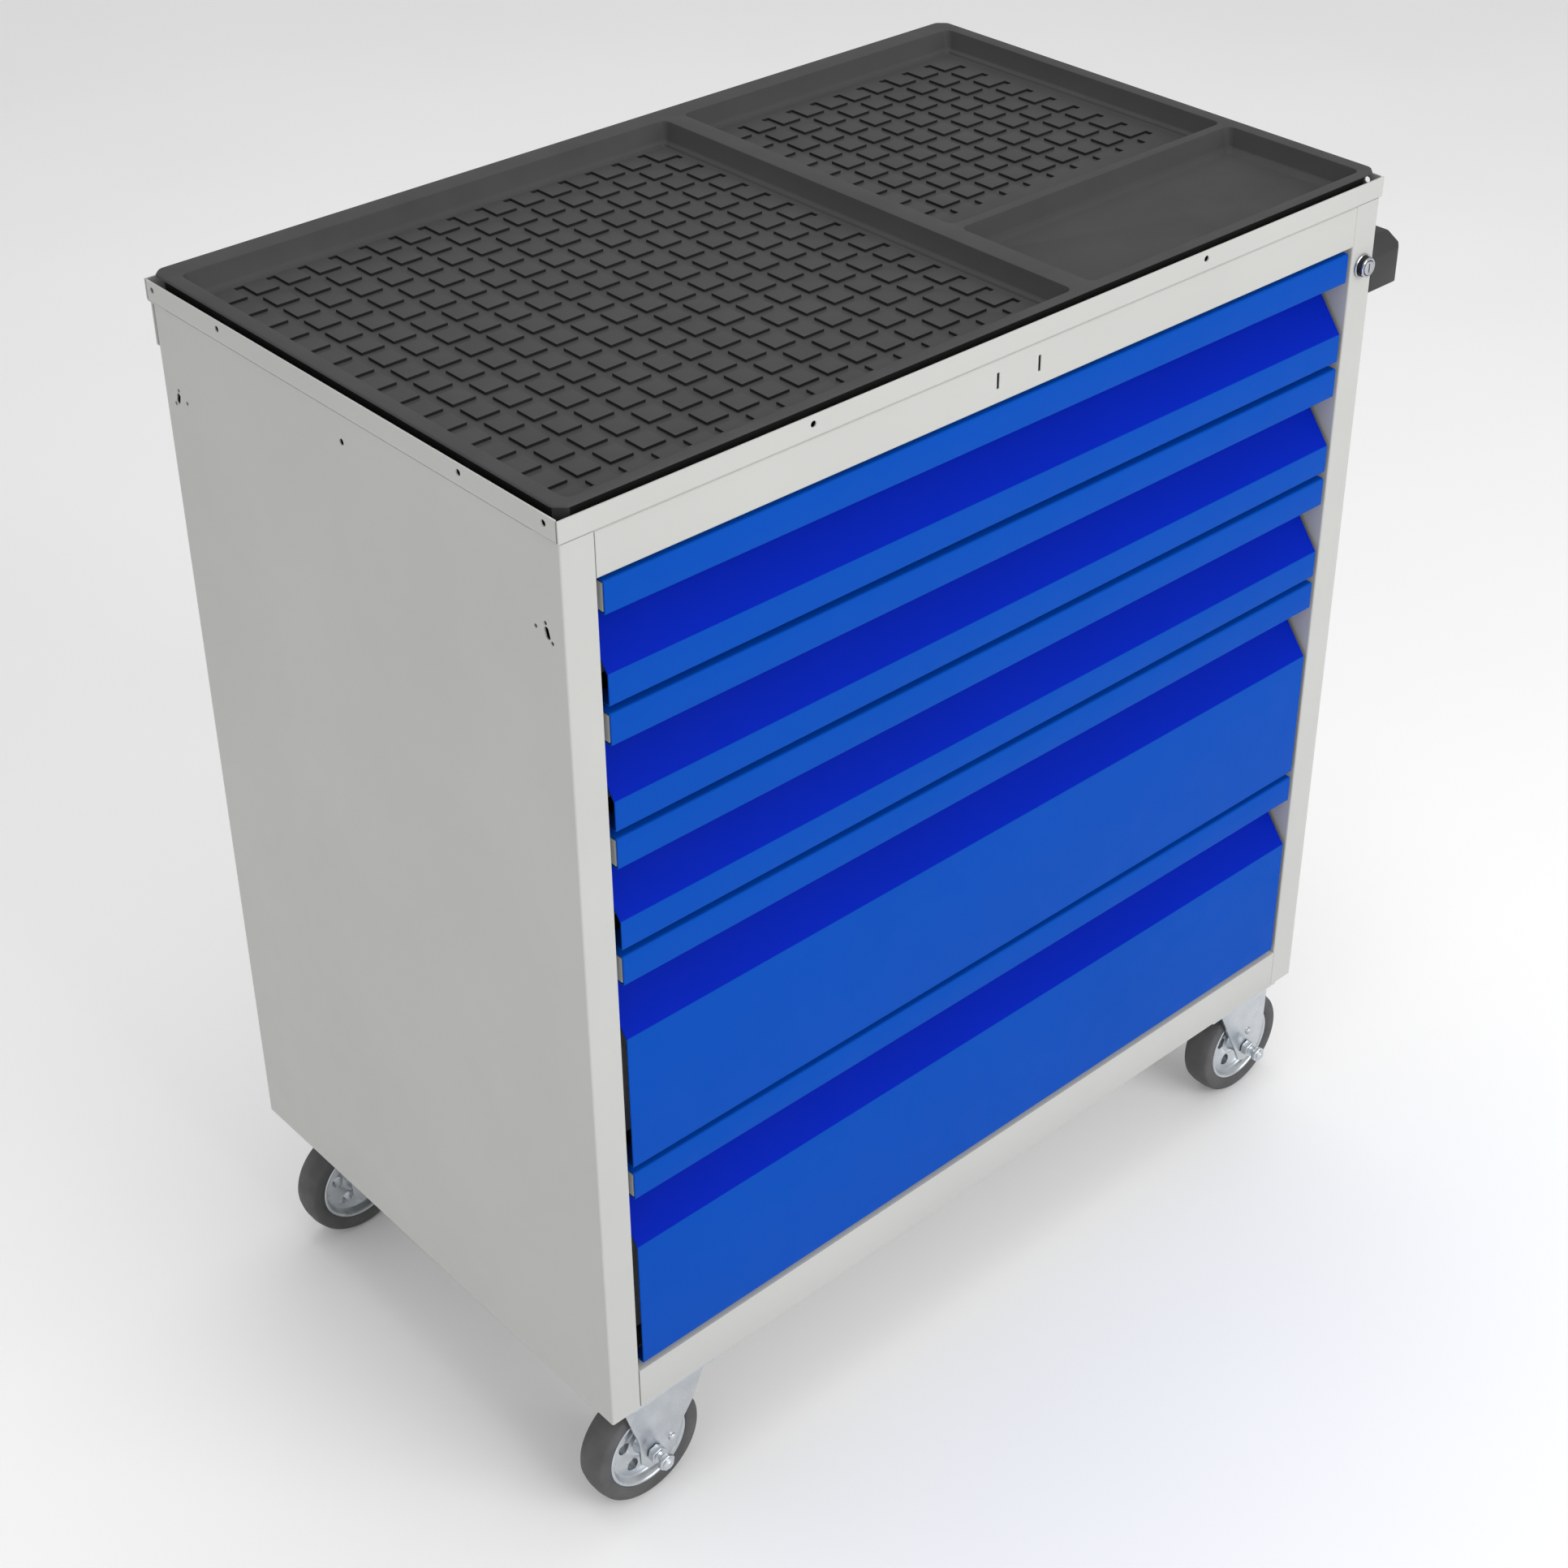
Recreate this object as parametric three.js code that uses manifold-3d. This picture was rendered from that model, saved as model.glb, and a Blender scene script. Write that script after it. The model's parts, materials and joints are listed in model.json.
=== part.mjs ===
// Mobile tool cabinet: a folded-steel cabinet with five drawers on side-mounted slides, a plastic
// tool tray in a steel worktop pan, a push handle, a key lock and four plate casters.
// Millimetres, +Z up, the front faces -Y. Z = 0 is the floor.
import * as THREE from 'three';
import { mergeVertices } from 'three/addons/utils/BufferGeometryUtils.js';
import Module from 'manifold-3d';

// ---------------------------------------------------------------- driving dimensions
const SHEET = 1.2;             // steel sheet of the cabinet and drawers
const GAP = 0.3;               // clearance between pieces that touch

const WIDTH = 776;             // across the side panels
const DEPTH = 463;             // front face to rear face of the side panels
const BODY_HEIGHT = 743;       // height of the side panels
const POST_WIDTH = 26.5;       // front face of a folded post
const POST_RETURN = 46;        // depth of a post's inner return
const TOP_RAIL = 33.3;         // height of the front rail above the drawers
const BOTTOM_RAIL = 37;        // height of the front rail below the drawers
const RAIL_RETURN = 20;        // depth of the rails' folded edges
const RAIL_HEM = 12;           // edge of the lower rail turned down inside
const REAR_FLANGE = 22;        // upturned rear edge of the floor pan
const BACK_FLANGE = 10;        // folded side edges of the back panel

const PAN_LIP = 17;            // height of the worktop pan's upturned lips
const PAN_PROUD = 1.2;         // how far the pan stands out at the front and sides
const PAN_REAR = 6;            // how far the pan stands out at the back
const REAR_RAIL_PROUD = 3.5;   // how far the upper rear rail stands out
const LIP_HOLE = { radius: 2.3, drop: 6.4 };   // fixing holes in the lips
const FRONT_HOLES_APART = 375;
const SIDE_HOLES = [13, 98];   // from the front of the cabinet
const SIDE_HOLES_REAR = [88, 3];   // from its rear
const CORNER_SLIT = 5;         // open corners of the pan

const TRAY_MARGIN = 2.2;       // dark gap between the tray and the pan's lips
const TRAY_RISE = 5.6;         // tray rim above the lips
const TRAY_RIM = 12.5;         // width of the tray's rim at the sides
const TRAY_FRONT_RIM = 8.1;
const TRAY_REAR_RIM = 20;
const TRAY_DIVIDER = 19;       // width of the divider between left and right compartments
const TRAY_CROSS = 9;          // width of the divider between the right compartments
const TRAY_LEFT_WIDTH = 434;   // left compartment, across
const TRAY_FRONT_DEPTH = 126;  // front right compartment, front to back
const TRAY_POCKET = 17.5;      // depth of the compartments
const TRAY_DRAFT = 6;          // how far the compartments narrow to their floors
const TRAY_CORNER = 9;         // chamfer of the tray's outer corners

const DRAWER_UNITS = [1, 1, 1, 2, 2];   // height units of the drawers, top to bottom
const FRONT_GAP = 5.2;         // gap between one drawer front and the next
const TOP_CLEARANCE = 3.2;     // gap above the top drawer front
const SIDE_CLEARANCE = 4.6;    // gap between a drawer front and the posts
const STRIP = 24.4;            // height of the strip over a finger pocket
const POCKET = 26;             // depth of the finger pocket
const POCKET_SLOPE = 34;       // height of the pocket's sloping face
const POCKET_DROP = [67, 70.8];  // top of a front to the foot of its slope, by height units
const HEM = 9;                 // folded edge under the strip
const FOOT_RETURN = 14;        // folded edge along the bottom of a front
const BOX_LIFT = 6;            // drawer box above the bottom edge of its front
const BOX_DROP = 14;           // drawer box below the top edge of its front
const BOX_REAR_SPACE = 20.5;   // drawer box before the cabinet's rear face

const SLIDE_REAR_SPACE = 29.5; // slide before the cabinet's rear face
const SLIDE_HEIGHT = 35;
const SLIDE_WIDTH = 16;        // space between the box and the post for a slide
const SLIDE_SETBACK = 6;       // slide behind the front of the box
const SLIDE_INNER_HEIGHT = 26;
const SLIDE_FLANGE = 11;       // folded edges of the cabinet's member
const SLIDE_CURL = 4;          // their inturned lips
const SLIDE_INNER_FLANGE = 9;  // folded edges of the drawer's member

const HANDLE_REACH = 38;       // how far the handle stands out of the side
const HANDLE_HEIGHT = 42;
const HANDLE_CHAMFER = [8.5, 13];   // in from the edge and down from the top, on three sides
const HANDLE_FOOT = 34;        // length of each end of the handle
const HANDLE_GRIP = 14;        // thickness of the bar that is held
const HANDLE_CORNER = 4.5;     // its upright outer corners, cut off
const HANDLE_SLANT = 10;       // how far the ends' inner faces lean
const HANDLE_DROP = 37;        // top of the handle below the top of the side panels
const HANDLE_INSET = 0.6;      // front end of the handle behind the cabinet's front

const LOCK_DROP = 51;          // centre of the lock below the top of the side panels
const LOCK_RADIUS = 9.5;
const LOCK_BODY = 8.2;         // radius of the barrel behind its collar
const LOCK_FIT = 0.6;          // clearance round the barrel
const LOCK_PROUD = 7;          // front of the lock before the post
const LOCK_PLUG = 5.6;         // radius of the turning plug
const LOCK_DEPTH = 24;         // barrel behind the post's face
const LOCK_THROW = 6.5;        // radius of the cam pin, which is the lock bar's travel
const PLUG_FIT = 0.5;          // clearance round the plug
const PLUG_PROUD = 0.5;        // plug before the barrel, and cam pin behind the bar
const KEY_HALF = 3.6;          // half the height of the key slot
const KEY_DEPTH = 3;
const CAM_SPACE = 1;           // barrel to cam
const CAM_THICK = 2;           // cam, lock bar and the space between them
const CAM_HALF = 3.5;
const CAM_PIN = 1.4;           // radius of the pin that lifts the bar
const BAR_SIDES = [-7, 11];    // lock bar's edges from the lock's centre
const BAR_OVER = 12;           // lock bar above the lock's centre
const BAR_FOOT = 15;           // lock bar above the lower rail
const HOOK_REACH = 2.5;
const HOOK_LIFT = 20;          // hooks above the bottoms of the drawers
const HOOK_HEIGHT = 14;

const WHEEL_RADIUS = 50;
const WHEEL_WIDTH = 26;
const TYRE_THICK = 13.5;
const TYRE_SHOULDER = 5;
const RIM_WEB = 4;             // half the thickness of the wheel's web
const RIM_FLANGE = 4;
const FORK_HEAD = 30;          // tyre to the underside of the cabinet
const HUB_RADIUS = 9;
const AXLE_RADIUS = 4.8;
const AXLE_FIT = 0.5;          // clearance in the wheel
const LEG_FIT = 0.6;           // clearance in the legs, and of the kingpin
const NUT_RADIUS = 7.5;
const NUT_HEIGHT = 7;
const HEAD_HEIGHT = 5.5;
const BOLT_END = 12;           // bolt past its nut
const RACE_RADIUS = 27;        // swivel bearing
const RACE_HEIGHT = 4.5;
const CROWN_SHEET = 5;         // top of a swivelling fork
const KINGPIN = 6;
// Outlines of the legs: along the cabinet and up from the axle, down one edge and up the other.
const RIGID_LEG = [[41, 30], [29, 13], [21, -8], [9, -16], [-5, -16], [-12, -7], [-13, 16], [-23, 48]];
const SWIVEL_LEG = [[23, 12], [20, -4], [12, -13], [0, -16], [-8, -12], [-11, -3]];
const RIGID_OFFSET = 14;       // rigid plate's centre before the wheel's axle
const SWIVEL_FRONT = 16;       // fork's head before the swivel axis
const SWIVEL_REAR = 24;        // fork's head behind the wheel's axle
const FORK_SHEET = 2.5;
const FORK_CLEARANCE = 2.5;    // between the hub and a fork leg
const PLATE_LENGTH = 96;
const PLATE_WIDTH = 70;
const PLATE_THICK = 3;
const PLATE_CORNER = 6;        // chamfer of a plate's corners
const PLATE_HOLE = 4.5;        // radius of its bolt holes
const PLATE_HOLE_INSET = 12;
const CASTER_INSET_Y = 36;     // caster centre to the front or rear of the cabinet
const FIXED_INSET_X = 50;      // rigid caster centre to the left side
const SWIVEL_INSET_X = 60;     // swivel caster centre to the right side
const TRAIL = 30;              // swivel axis to wheel axis

// ---------------------------------------------------------------- derived places
const LEFT = -WIDTH / 2;
const RIGHT = WIDTH / 2;
const CASTER_HEIGHT = 2 * WHEEL_RADIUS + FORK_HEAD;
const BODY_Z = CASTER_HEIGHT;
const BODY_TOP = BODY_Z + BODY_HEIGHT;
const OPENING_HALF = WIDTH / 2 - POST_WIDTH;
const OPENING_BOTTOM = BODY_Z + BOTTOM_RAIL;
const OPENING_TOP = BODY_TOP - TOP_RAIL;
const LIP_TOP = BODY_TOP + PAN_LIP;
const TRAY_TOP = LIP_TOP + TRAY_RISE;
const PAN_FLOOR = BODY_TOP + GAP;
const TRAY_BOTTOM = PAN_FLOOR + SHEET + GAP;
const UNIT_SUM = DRAWER_UNITS.reduce((sum, units) => sum + units, 0);
const UNIT = (OPENING_TOP - OPENING_BOTTOM - TOP_CLEARANCE) / UNIT_SUM;
const FRONT_HALF = OPENING_HALF - SIDE_CLEARANCE;
const BOX_HALF = OPENING_HALF - SLIDE_WIDTH;
const BOX_FRONT = POCKET + SHEET + GAP;
const BOX_REAR = DEPTH - BOX_REAR_SPACE;
const SLIDE_FRONT = BOX_FRONT + SLIDE_SETBACK;
const SLIDE_REAR = DEPTH - SLIDE_REAR_SPACE;
const LOCK_X = RIGHT - POST_WIDTH / 2;
const LOCK_Z = BODY_TOP - LOCK_DROP;

// ---------------------------------------------------------------- colours
const PAINT = { color: 0xd3d5d1, roughness: 0.45, metalness: 0 };
const BLUE = { color: 0x1857b8, roughness: 0.4, metalness: 0 };
const PLASTIC = { color: 0x4a4a4a, roughness: 0.6, metalness: 0 };
const HANDLE_PLASTIC = { color: 0x3a3a3b, roughness: 0.55, metalness: 0 };
const ZINC = { color: 0xaeb4ba, roughness: 0.32, metalness: 0.9 };
const GALVANISED = { color: 0xb8bcc0, roughness: 0.4, metalness: 0.8 };
const CHROME = { color: 0xd8dade, roughness: 0.15, metalness: 1 };
const RUBBER = { color: 0x4e4e50, roughness: 0.8, metalness: 0 };

// ---------------------------------------------------------------- solids
const wasm = await Module();
wasm.setup();
const group = new THREE.Group();

function solid(geometry) {
  const bare = geometry.clone();
  bare.deleteAttribute('normal');
  bare.deleteAttribute('uv');
  const merged = mergeVertices(bare, 1e-4);
  const triVerts = Uint32Array.from(merged.index.array);
  const vertProperties = Float32Array.from(merged.attributes.position.array);
  return new wasm.Manifold(new wasm.Mesh({ numProp: 3, vertProperties, triVerts }));
}

function geometryOf(body) {
  const made = body.getMesh();
  const geometry = new THREE.BufferGeometry();
  geometry.setAttribute('position', new THREE.BufferAttribute(made.vertProperties.slice(), 3));
  geometry.setIndex(new THREE.BufferAttribute(made.triVerts.slice(), 1));
  geometry.computeVertexNormals();
  return geometry;
}

function add(name, body, look, parent = group) {
  const mesh = new THREE.Mesh(geometryOf(body), new THREE.MeshStandardMaterial(look));
  mesh.name = name;
  parent.add(mesh);
  return mesh;
}

function block(x, y, z) {
  const geometry = new THREE.BoxGeometry(x[1] - x[0], y[1] - y[0], z[1] - z[0]);
  geometry.translate((x[0] + x[1]) / 2, (y[0] + y[1]) / 2, (z[0] + z[1]) / 2);
  return solid(geometry);
}

// An outline pushed along one axis. Outlines are [y, z] along x, [x, z] along y and [x, y] along z.
function prism(outline, axis, from, to) {
  const flat = axis === 'y' ? outline.map(([x, z]) => [z, x]) : outline;
  const shape = new THREE.Shape(flat.map(([u, v]) => new THREE.Vector2(u, v)));
  const geometry = new THREE.ExtrudeGeometry(shape, { depth: to - from, bevelEnabled: false });
  geometry.translate(0, 0, from);
  const x = new THREE.Vector3(1, 0, 0);
  const y = new THREE.Vector3(0, 1, 0);
  const z = new THREE.Vector3(0, 0, 1);
  const turn = new THREE.Matrix4();
  if (axis === 'x') turn.makeBasis(y, z, x);
  if (axis === 'y') turn.makeBasis(z, x, y);
  geometry.applyMatrix4(turn);
  return solid(geometry);
}

// A sheet folded along a path, with its thickness to the right of the way it runs.
function folded(path, thickness = SHEET) {
  const normals = path.slice(1).map(([u, v], i) => {
    const run = new THREE.Vector2(u - path[i][0], v - path[i][1]).normalize();
    return new THREE.Vector2(run.y, -run.x);
  });
  const offset = path.map(([u, v], i) => {
    const before = normals[Math.max(0, i - 1)];
    const after = normals[Math.min(normals.length - 1, i)];
    const mitre = before.clone().add(after).normalize();
    mitre.multiplyScalar(thickness / mitre.dot(after));
    return [u + mitre.x, v + mitre.y];
  });
  return [...path, ...offset.reverse()];
}

// A body turned about the Y axis; the outline is [radius, y] and closes on itself.
function turned(outline, segments) {
  const grow = 1 / Math.cos(Math.PI / segments);
  const points = [...outline, outline[0]].map(([r, y]) => new THREE.Vector2(r * grow, y));
  return solid(new THREE.LatheGeometry(points, segments, Math.PI / segments, 2 * Math.PI));
}

function rod(radius, axis, at, from, to, segments = 16) {
  const geometry = new THREE.CylinderGeometry(radius, radius, to - from, segments);
  geometry.translate(0, (from + to) / 2, 0);
  if (axis === 'x') geometry.rotateZ(-Math.PI / 2);
  if (axis === 'z') geometry.rotateX(Math.PI / 2);
  geometry.translate(...at);
  return solid(geometry);
}

const union = (...bodies) => bodies.reduce((all, body) => all.add(body));
const without = (body, cuts) => cuts.reduce((left, cut) => left.subtract(cut), body);

// ---------------------------------------------------------------- cabinet shell
// Depths inside the cabinet are measured from its front face.
const FIXING_SLOT = { width: 5, height: 14, y: 17.6, drop: 68 };
const FIXING_HOLES = [[10.5, 3.5], [-6.5, -9]];
const FIXING_HOLE_RADIUS = 1.9;
const CENTRE_HOLE = { radius: 2.5, drop: 20.3 };
const FRONT_SLOTS = { width: 2.6, height: 12, apart: 40, drop: 16 };
const PAST = 5;                // how far a cutter runs past the sheet it cuts

function fixingCuts(side, mirrored) {
  const y = mirrored ? DEPTH - FIXING_SLOT.y : FIXING_SLOT.y;
  const z = BODY_TOP - FIXING_SLOT.drop;
  const x = [side * WIDTH / 2 - PAST, side * WIDTH / 2 + PAST];
  const half = FIXING_SLOT.width / 2;
  const slot = block(x, [y - half, y + half], [z - FIXING_SLOT.height / 2, z + FIXING_SLOT.height / 2]);
  const flip = mirrored ? -1 : 1;
  const holes = FIXING_HOLES.map(([dy, dz]) => (
    rod(FIXING_HOLE_RADIUS, 'x', [0, y + flip * dy, z + dz], ...x, 8)));
  return [slot, ...holes];
}

function sidePanel(name, side) {
  const outer = side * WIDTH / 2;
  const inner = side * OPENING_HALF;
  const path = [
    [inner, POST_RETURN], [inner, 0], [outer, 0],
    [outer, DEPTH], [inner, DEPTH], [inner, DEPTH - POST_RETURN],
  ];
  const outline = folded(side > 0 ? path.reverse() : path);
  const panel = prism(outline, 'z', BODY_Z, BODY_TOP);
  const floorSlot = block(
    side > 0 ? [inner - 1, outer - SHEET] : [outer + SHEET, inner + 1],
    [SHEET, DEPTH - SHEET], [BODY_Z - 1, BODY_Z + SHEET + 2 * GAP]);
  const centre = [0, DEPTH / 2, BODY_TOP - CENTRE_HOLE.drop];
  const centreHole = rod(CENTRE_HOLE.radius, 'x', centre, outer - PAST, outer + PAST, 10);
  const cuts = [floorSlot, centreHole, ...fixingCuts(side, false), ...fixingCuts(side, true)];
  if (side > 0) cuts.push(rod(LOCK_BODY + LOCK_FIT, 'y', [LOCK_X, 0, LOCK_Z], -PAST, PAST, 20));
  add(name, without(panel, cuts), PAINT);
}

function topRail() {
  const face = OPENING_HALF - GAP;
  const top = BODY_TOP;
  const outline = folded([
    [RAIL_RETURN, OPENING_TOP], [0, OPENING_TOP], [0, top], [RAIL_RETURN, top],
  ]);
  const { width, height, apart, drop } = FRONT_SLOTS;
  const middle = top - drop;
  const slots = [-apart / 2, apart / 2].map((x) => block(
    [x - width / 2, x + width / 2], [-PAST, SHEET + PAST], [middle - height / 2, middle + height / 2]));
  add('top_rail', without(prism(outline, 'x', -face, face), slots), PAINT);
}

function floorPan() {
  const half = WIDTH / 2 - SHEET - GAP;
  const sheet = block([-half, half], [SHEET + GAP, DEPTH - SHEET - GAP], [BODY_Z, BODY_Z + SHEET]);
  const face = OPENING_HALF - GAP;
  const rail = prism(folded([
    [2 * SHEET, BODY_Z], [0, BODY_Z], [0, OPENING_BOTTOM], [RAIL_RETURN, OPENING_BOTTOM],
    [RAIL_RETURN, OPENING_BOTTOM - RAIL_HEM],
  ]), 'x', -face, face);
  const rear = prism(folded([
    [DEPTH - 3 * SHEET, BODY_Z + SHEET / 2], [DEPTH - 3 * SHEET, BODY_Z + REAR_FLANGE],
  ]), 'x', -face + 2, face - 2);
  add('floor_pan', union(sheet, rail, rear), PAINT);
}

function backPanel() {
  const half = OPENING_HALF - GAP;
  const outline = folded([
    [-half, DEPTH - BACK_FLANGE], [-half, DEPTH], [half, DEPTH], [half, DEPTH - BACK_FLANGE],
  ]);
  add('back_panel', prism(outline, 'z', BODY_Z + SHEET + 2 * GAP, OPENING_TOP - GAP), PAINT);
}

function rearTopRail() {
  const near = DEPTH + GAP;
  const far = DEPTH + REAR_RAIL_PROUD;
  const outline = folded([
    [near, BODY_TOP], [far, BODY_TOP], [far, OPENING_TOP], [near, OPENING_TOP],
  ]);
  add('rear_top_rail', prism(outline, 'x', LEFT, RIGHT), PAINT);
}

function worktopPan() {
  const half = WIDTH / 2 + PAN_PROUD;
  const front = -PAN_PROUD;
  const rear = DEPTH + PAN_REAR;
  const shell = block([-half, half], [front, rear], [PAN_FLOOR, LIP_TOP]);
  const inside = block(
    [-half + SHEET, half - SHEET], [front + SHEET, rear - SHEET], [PAN_FLOOR + SHEET, LIP_TOP + 1]);
  const slits = [];
  for (const x of [[-half - 1, -half + SHEET], [half - SHEET, half + 1]]) {
    for (const [y, way] of [[front + SHEET, 1], [rear - SHEET, -1]]) {
      const ends = [y, y + way * CORNER_SLIT].sort((a, b) => a - b);
      slits.push(block(x, ends, [PAN_FLOOR + SHEET, LIP_TOP + 1]));
    }
  }
  const { radius, drop } = LIP_HOLE;
  const z = LIP_TOP - drop;
  const frontHoles = [-FRONT_HOLES_APART / 2, FRONT_HOLES_APART / 2].map((x) => (
    rod(radius, 'y', [x, 0, z], front - PAST, front + PAST, 10)));
  const sideHoles = [...SIDE_HOLES, ...SIDE_HOLES_REAR.map((y) => DEPTH - y)].flatMap((y) => [
    rod(radius, 'x', [0, y, z], -half - PAST, -half + PAST, 10),
    rod(radius, 'x', [0, y, z], half - PAST, half + PAST, 10),
  ]);
  add('worktop_pan', without(shell, [inside, ...slits, ...frontHoles, ...sideHoles]), PAINT);
}

// ---------------------------------------------------------------- tool tray
const TRAY_HALF = WIDTH / 2 + PAN_PROUD - SHEET - TRAY_MARGIN;
const TRAY_FRONT = -PAN_PROUD + SHEET + TRAY_MARGIN;
const TRAY_REAR = DEPTH + PAN_REAR - SHEET - TRAY_MARGIN;

function pocket(x, y) {
  const top = TRAY_TOP + 1;
  const floor = TRAY_TOP - TRAY_POCKET;
  const geometry = new THREE.BoxGeometry(1, 1, 1);
  const corner = geometry.attributes.position;
  const spread = TRAY_DRAFT / TRAY_POCKET;
  for (let i = 0; i < corner.count; i++) {
    const up = corner.getZ(i) > 0;
    const inset = up ? -spread : TRAY_DRAFT;
    corner.setXYZ(
      i,
      corner.getX(i) > 0 ? x[1] - inset : x[0] + inset,
      corner.getY(i) > 0 ? y[1] - inset : y[0] + inset,
      up ? top : floor);
  }
  return solid(geometry);
}

function toolTray() {
  const c = TRAY_CORNER;
  const outline = [
    [-TRAY_HALF + c, TRAY_FRONT], [TRAY_HALF - c, TRAY_FRONT], [TRAY_HALF, TRAY_FRONT + c],
    [TRAY_HALF, TRAY_REAR - c], [TRAY_HALF - c, TRAY_REAR], [-TRAY_HALF + c, TRAY_REAR],
    [-TRAY_HALF, TRAY_REAR - c], [-TRAY_HALF, TRAY_FRONT + c],
  ];
  const x0 = -TRAY_HALF + TRAY_RIM;
  const x1 = x0 + TRAY_LEFT_WIDTH;
  const x2 = x1 + TRAY_DIVIDER;
  const x3 = TRAY_HALF - TRAY_RIM;
  const y0 = TRAY_FRONT + TRAY_FRONT_RIM;
  const y1 = y0 + TRAY_FRONT_DEPTH;
  const y3 = TRAY_REAR - TRAY_REAR_RIM;
  const pockets = [
    pocket([x0, x1], [y0, y3]),
    pocket([x2, x3], [y0, y1]),
    pocket([x2, x3], [y1 + TRAY_CROSS, y3]),
  ];
  add('tool_tray', without(prism(outline, 'z', TRAY_BOTTOM, TRAY_TOP), pockets), PLASTIC);
}

// ---------------------------------------------------------------- drawers
function drawerFront(height, units) {
  const slopeFoot = height - POCKET_DROP[units - 1];
  const path = [
    [FOOT_RETURN, 0], [0, 0], [0, slopeFoot], [POCKET, slopeFoot + POCKET_SLOPE], [POCKET, height - SHEET],
    [SHEET, height - SHEET], [SHEET, height - STRIP + SHEET], [HEM, height - STRIP + SHEET],
  ];
  return prism(folded(path), 'x', -FRONT_HALF, FRONT_HALF);
}

function drawerBox(height) {
  const floor = BOX_LIFT;
  const top = height - BOX_DROP;
  const y = [BOX_FRONT, BOX_REAR];
  const shell = block([-BOX_HALF, BOX_HALF], y, [floor, top]);
  const inside = block(
    [-BOX_HALF + SHEET, BOX_HALF - SHEET], [y[0] + SHEET, y[1] - SHEET], [floor + SHEET, top + 1]);
  return shell.subtract(inside);
}

// Cross-sections of the two slide members, for the right-hand side: [x, z] about the slide's middle.
function slideSections() {
  const wall = OPENING_HALF - GAP;
  const box = BOX_HALF + GAP;
  const h = SLIDE_HEIGHT / 2;
  const k = SLIDE_INNER_HEIGHT / 2;
  const edge = wall - SLIDE_FLANGE;
  const tip = box + SLIDE_INNER_FLANGE;
  const outer = folded([
    [edge, h - SLIDE_CURL], [edge, h], [wall, h], [wall, -h], [edge, -h], [edge, -h + SLIDE_CURL],
  ]);
  const inner = folded([[tip, -k], [box, -k], [box, k], [tip, k]]);
  return { outer, inner };
}

function slidePair(index, z, parent, drawer) {
  const { outer, inner } = slideSections();
  const y = [SLIDE_FRONT, SLIDE_REAR];
  for (const [side, sign] of [['left', -1], ['right', 1]]) {
    const place = (outline) => outline.map(([x, up]) => [sign * x, z + up]);
    add(`slide_${index}_${side}_cabinet_member`, prism(place(outer), 'y', ...y), GALVANISED, parent);
    add(`slide_${index}_${side}_drawer_member`, prism(place(inner), 'y', ...y), GALVANISED, drawer);
  }
}

function drawerBottoms() {
  let below = OPENING_TOP - TOP_CLEARANCE + FRONT_GAP;
  return DRAWER_UNITS.map((units) => (below -= units * UNIT));
}

function drawers() {
  DRAWER_UNITS.forEach((units, i) => {
    const height = units * UNIT - FRONT_GAP;
    const bottom = drawerBottoms()[i];
    const drawer = new THREE.Group();
    drawer.position.z = bottom;
    group.add(drawer);
    add(`drawer_${i + 1}_front`, drawerFront(height, units), BLUE, drawer);
    add(`drawer_${i + 1}_box`, drawerBox(height), PAINT, drawer);
    const rails = new THREE.Group();
    rails.position.z = bottom;
    group.add(rails);
    slidePair(i + 1, BOX_LIFT + (height - BOX_LIFT - BOX_DROP) / 2, rails, drawer);
  });
}

// ---------------------------------------------------------------- push handle
function pushHandle() {
  const y0 = HANDLE_INSET;
  const y1 = DEPTH - HANDLE_INSET;
  const near = RIGHT + GAP;
  const far = RIGHT + HANDLE_REACH;
  const grip = far - HANDLE_GRIP;
  const c = HANDLE_CORNER;
  const outline = [
    [near, y0], [far - c, y0], [far, y0 + c], [far, y1 - c], [far - c, y1], [near, y1],
    [near, y1 - HANDLE_FOOT], [grip, y1 - HANDLE_FOOT - HANDLE_SLANT],
    [grip, y0 + HANDLE_FOOT + HANDLE_SLANT], [near, y0 + HANDLE_FOOT],
  ];
  const top = BODY_TOP - HANDLE_DROP;
  const bar = prism(outline, 'z', top - HANDLE_HEIGHT, top);
  const [inward, down] = HANDLE_CHAMFER;
  const wedge = (edge, way) => [
    [edge - way * inward, top], [edge + way, top - down * (1 + 1 / inward)], [edge + way, top + 2],
    [edge - way * inward, top + 2],
  ];
  const cuts = [
    prism(wedge(far, 1), 'y', y0 - 1, y1 + 1),
    prism(wedge(y0, -1).reverse(), 'x', near - 1, far + 1),
    prism(wedge(y1, 1), 'x', near - 1, far + 1),
  ];
  add('push_handle', without(bar, cuts), HANDLE_PLASTIC);
}

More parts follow.
